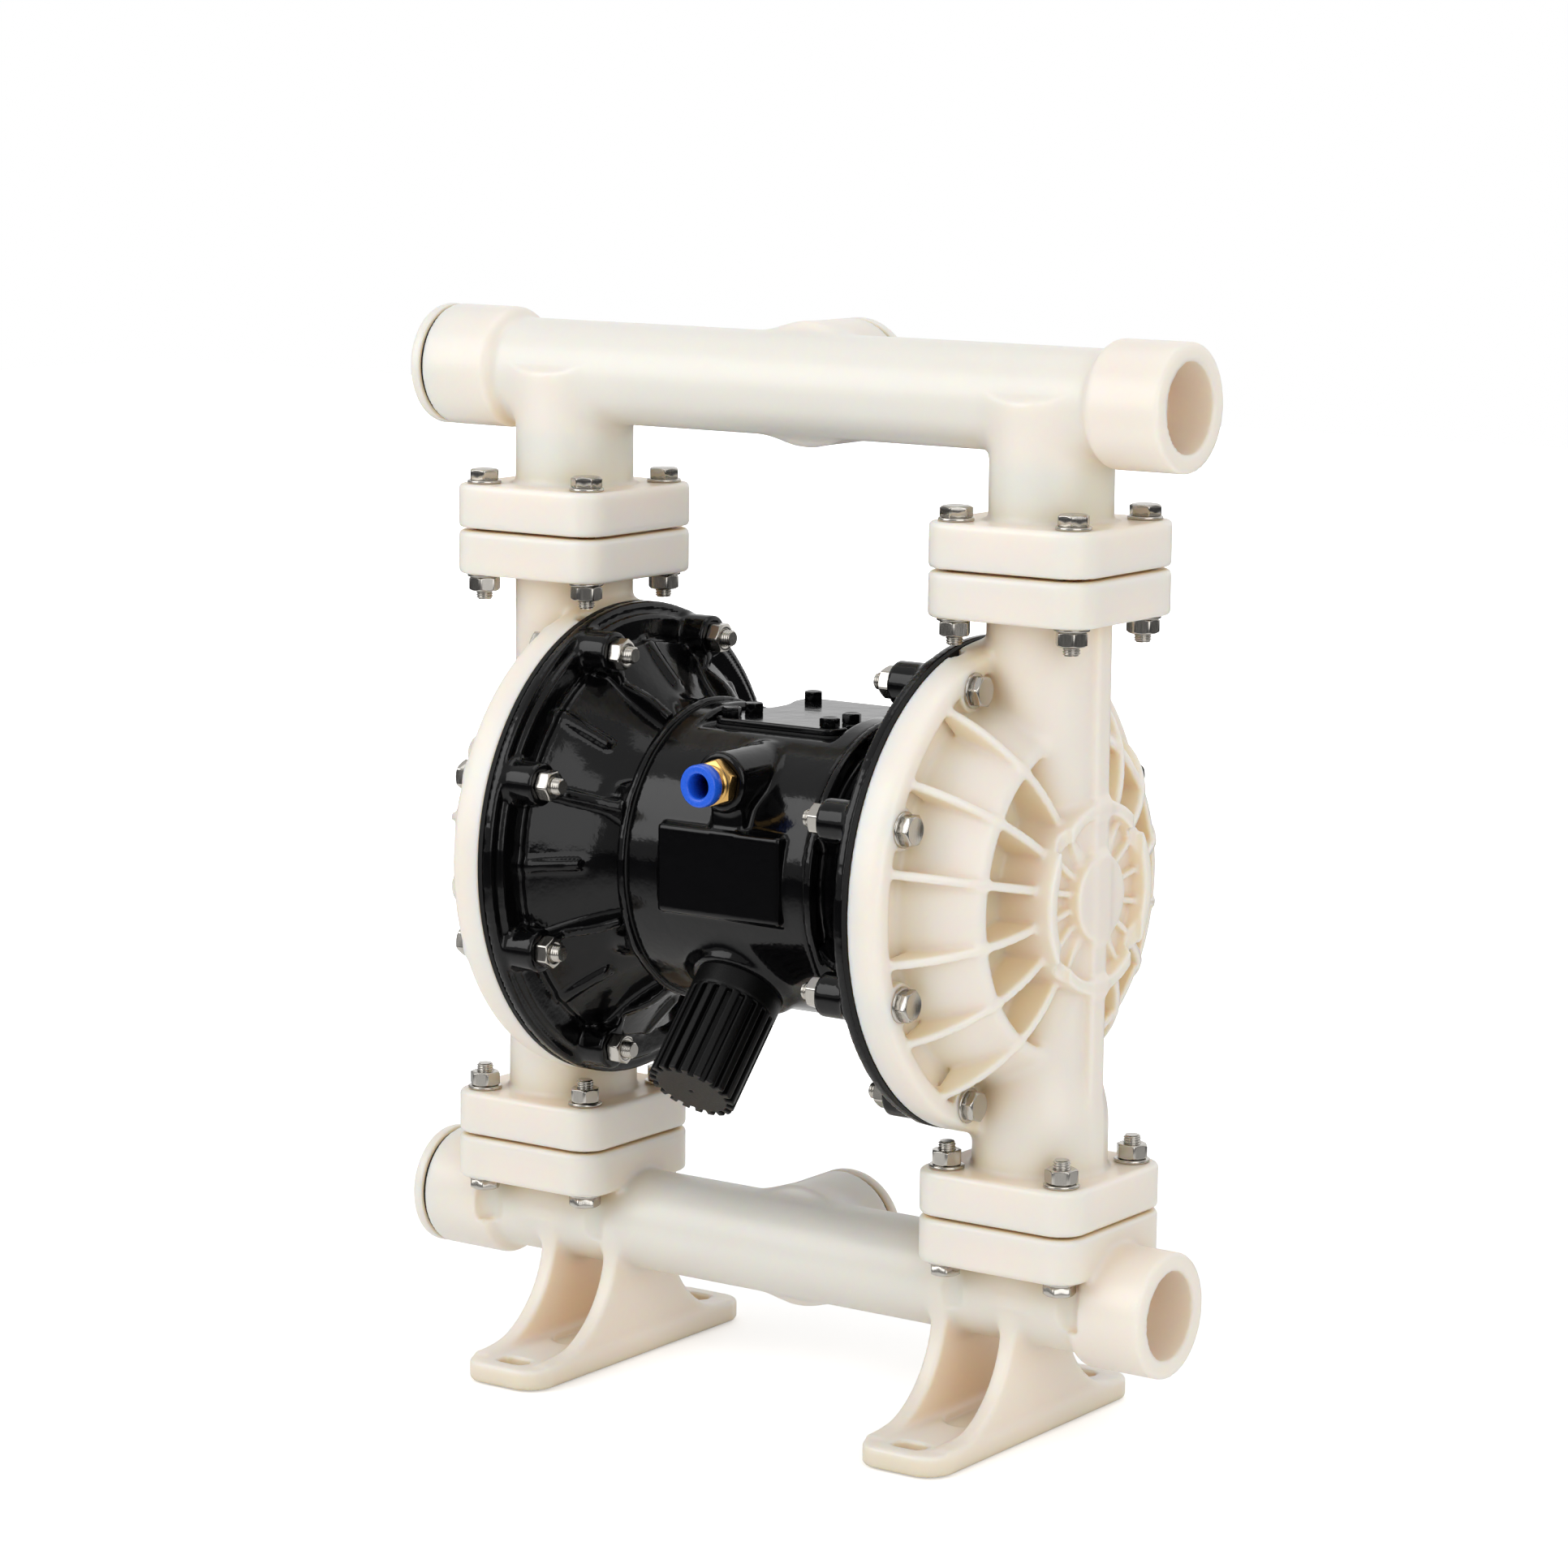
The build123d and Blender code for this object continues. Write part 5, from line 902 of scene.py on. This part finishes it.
# %% The silencer's field and skin
def silencer(u, v, w):
    """Barrel from its seat at w = 88 to its end at 158, threaded stem behind it."""
    rho, turn = np.sqrt(u * u + v * v), np.arctan2(v, u)
    barrel = overlap_of(rho - 26, np.abs(w - 123) - 35, 0.5)
    flute_turn = np.mod(turn, np.pi / 10) - np.pi / 20
    flute = np.maximum(np.abs(rho * np.sin(flute_turn)) - 1.75,
                       np.maximum(21.5 - rho * np.cos(flute_turn), 102 - w))
    body = cut(barrel, flute, 0.4)
    band = np.abs(w - 101.0) - 0.5
    body = cut(body, np.maximum(band, 25.6 - rho), 0.4)
    dimple = np.sqrt(rho**2 + (w - 158.6) ** 2) - 1.6
    body = cut(body, dimple, 0.4)
    stem = np.maximum(rho - 16.4, np.abs(w - 81) - 8)
    body = np.minimum(body, stem)
    return cut(body, np.maximum(rho - 13, np.maximum(72 - w, w - 153)), 0.5)


silencer_points, silencer_quads = skin(silencer, (-27, -27, 71), (27, 27, 160), 0.85)
across_exhaust = np.array([0, EXHAUST[2], -EXHAUST[1]])
silencer_points = silencer_points @ np.stack([[1, 0, 0], across_exhaust, EXHAUST])
make_piece("fluted_silencer", silencer_points, silencer_quads, "housing",
           nylon, "black_nylon", ["muffler_body"])

# %% [markdown]
# ## Camera and light
# A camera with a long lens stands at the front right, a little above the pump's middle.
# A white room gives the pale plastic its even light, and soft boxes draw long edges of light
# along the black enamel.

# %% Camera
def aim_camera():
    """Camera from its place, heading, tilt and roll: the view axis is (-sin a cos e, cos a cos e, -sin e)."""
    heading, tilt, roll = 0.6103, 0.16, 0.009
    rise, sideways, distance = 0.0427875, 0.0098125, 2.7067625
    focal_pixels, picture_pixels = 5811.45, 1932
    forward = np.array([-np.sin(heading) * np.cos(tilt), np.cos(heading) * np.cos(tilt), -np.sin(tilt)])
    level = np.array([np.cos(heading), np.sin(heading), 0])
    upright = np.cross(level, forward)
    right = np.cos(roll) * level + np.sin(roll) * upright
    up = -np.sin(roll) * level + np.cos(roll) * upright
    place = (rise * up - sideways * right - distance * forward) + np.array([0, 0, AXIS_Z / 1000])
    data = bpy.data.cameras.new("camera")
    data.sensor_width = 36.0
    data.lens = focal_pixels / picture_pixels * data.sensor_width
    data.clip_end = 50
    camera = bpy.data.objects.new("camera", data)
    bpy.context.scene.collection.objects.link(camera)
    columns = np.stack([right, up, -forward], 1)
    matrix = np.eye(4)
    matrix[:3, :3], matrix[:3, 3] = columns, place
    camera.matrix_world = Matrix(matrix.tolist())
    bpy.context.scene.camera = camera
    print("camera at", place)


aim_camera()


# %% Light, floor and background
def soft_box(name, place, target, width, height, power):
    """Rectangular lamp that faces a target; power in watts."""
    data = bpy.data.lights.new(name, "AREA")
    data.shape, data.size, data.size_y, data.energy = "RECTANGLE", width, height, power
    lamp = bpy.data.objects.new(name, data)
    bpy.context.scene.collection.objects.link(lamp)
    back = np.array(place, float) - np.array(target, float)
    back /= np.linalg.norm(back)
    side = np.cross([0, 0, 1], back)
    side /= np.linalg.norm(side)
    matrix = np.eye(4)
    matrix[:3, :3] = np.stack([side, np.cross(back, side), back], 1)
    matrix[:3, 3] = place
    lamp.matrix_world = Matrix(matrix.tolist())


middle = (0, 0, 0.3)
soft_box("key_box", (-1.0, -1.5, 1.25), middle, 1.4, 1.4, 14.5)
soft_box("fill_box", (1.9, -1.2, 1.0), middle, 1.8, 1.8, 15.5)
soft_box("top_box", (0.0, 0.2, 2.4), middle, 1.8, 1.2, 6)

world = bpy.data.worlds.new("white_room")
bpy.context.scene.world = world
world.use_nodes = True
room = world.node_tree
room.nodes.clear()
paths = add(room, "ShaderNodeLightPath")
direction = add(room, "ShaderNodeTexCoord").outputs["Generated"]
axes = add(room, "ShaderNodeSeparateXYZ", Vector=direction)
ceiling = add(room, "ShaderNodeMapRange", {"interpolation_type": "SMOOTHSTEP"},
              {"From Min": 0.2, "From Max": 0.6, "To Min": 0.40, "To Max": 0.62}, Value=axes.outputs["Z"])
backdrop = add(room, "ShaderNodeMapRange", {"interpolation_type": "SMOOTHSTEP"},
               {"From Min": 0.3, "From Max": 0.75, "To Min": 0.0, "To Max": 0.95}, Value=axes.outputs["Y"])
level = add(room, "ShaderNodeMath", {"operation": "MAXIMUM"})
room.links.new(ceiling.outputs["Result"], level.inputs[0])
room.links.new(backdrop.outputs["Result"], level.inputs[1])
lit = add(room, "ShaderNodeBackground", inputs={"Color": from_hex("#FFFFFF")},
          Strength=level.outputs["Value"])
seen = add(room, "ShaderNodeBackground", inputs={"Color": (1, 1, 1, 1), "Strength": 1.0})
choice = add(room, "ShaderNodeMixShader", inputs={})
room.links.new(paths.outputs["Is Camera Ray"], choice.inputs["Fac"])
room.links.new(lit.outputs["Background"], choice.inputs[1])
room.links.new(seen.outputs["Background"], choice.inputs[2])
room.links.new(choice.outputs["Shader"], add(room, "ShaderNodeOutputWorld").inputs["Surface"])


def pale_floor():
    """Flat pale floor, 12 m square, one millimetre under the feet. The eye sees it white, with
    the pump's shadow; reflections see a white table that ends about a metre away, and soft
    light bounces as from a white floor throughout."""
    material, tree, output, place = start_material("pale_studio_floor")
    distance = add(tree, "ShaderNodeVectorMath", {"operation": "LENGTH"})
    tree.links.new(place, distance.inputs[0])
    away = add(tree, "ShaderNodeMapRange", {"interpolation_type": "SMOOTHSTEP"},
               {"From Min": 0.45, "From Max": 1.3}, Value=distance.outputs["Value"])
    speck = add(tree, "ShaderNodeTexNoise", inputs={"Scale": 40.0}, Vector=place)
    tint = add(tree, "ShaderNodeMix", {"data_type": "RGBA"},
               {"A": from_hex("#FFFFFF"), "B": from_hex("#FCFCFB")},
               Factor=speck.outputs["Fac"])
    table = add(tree, "ShaderNodeMix", {"data_type": "RGBA"}, {"B": from_hex("#4A4A4C")},
                Factor=away.outputs["Result"])
    tree.links.new(tint.outputs["Result"], table.inputs["A"])
    seen_matt = add(tree, "ShaderNodeBsdfDiffuse", Color=tint.outputs["Result"])
    eye = add(tree, "ShaderNodeLightPath")
    lit_table = add(tree, "ShaderNodeMix", {"data_type": "RGBA"}, {"B": from_hex("#F4F4F2")},
                    Factor=eye.outputs["Is Diffuse Ray"])
    tree.links.new(table.outputs["Result"], lit_table.inputs["A"])
    bounce = add(tree, "ShaderNodeBsdfDiffuse", Color=lit_table.outputs["Result"])
    strength = add(tree, "ShaderNodeMapRange", inputs={"To Min": 0.38, "To Max": 1.2},
                   Value=away.outputs["Result"])
    glow = add(tree, "ShaderNodeEmission", inputs={"Color": (1, 1, 1, 1)},
               Strength=strength.outputs["Result"])
    both = add(tree, "ShaderNodeAddShader")
    tree.links.new(seen_matt.outputs["BSDF"], both.inputs[0])
    tree.links.new(glow.outputs["Emission"], both.inputs[1])
    mixed = add(tree, "ShaderNodeMixShader")
    tree.links.new(eye.outputs["Is Camera Ray"], mixed.inputs["Fac"])
    tree.links.new(bounce.outputs["BSDF"], mixed.inputs[1])
    tree.links.new(both.outputs["Shader"], mixed.inputs[2])
    tree.links.new(mixed.outputs["Shader"], output.inputs["Surface"])
    mesh = bpy.data.meshes.new("floor")
    mesh.from_pydata([(-6, -6, -0.001), (6, -6, -0.001), (6, 6, -0.001), (-6, 6, -0.001)], [], [(0, 1, 2, 3)])
    mesh.materials.append(material)
    floor = bpy.data.objects.new("floor", mesh)
    bpy.context.scene.collection.objects.link(floor)


pale_floor()
bpy.context.scene.view_settings.view_transform = "Standard"
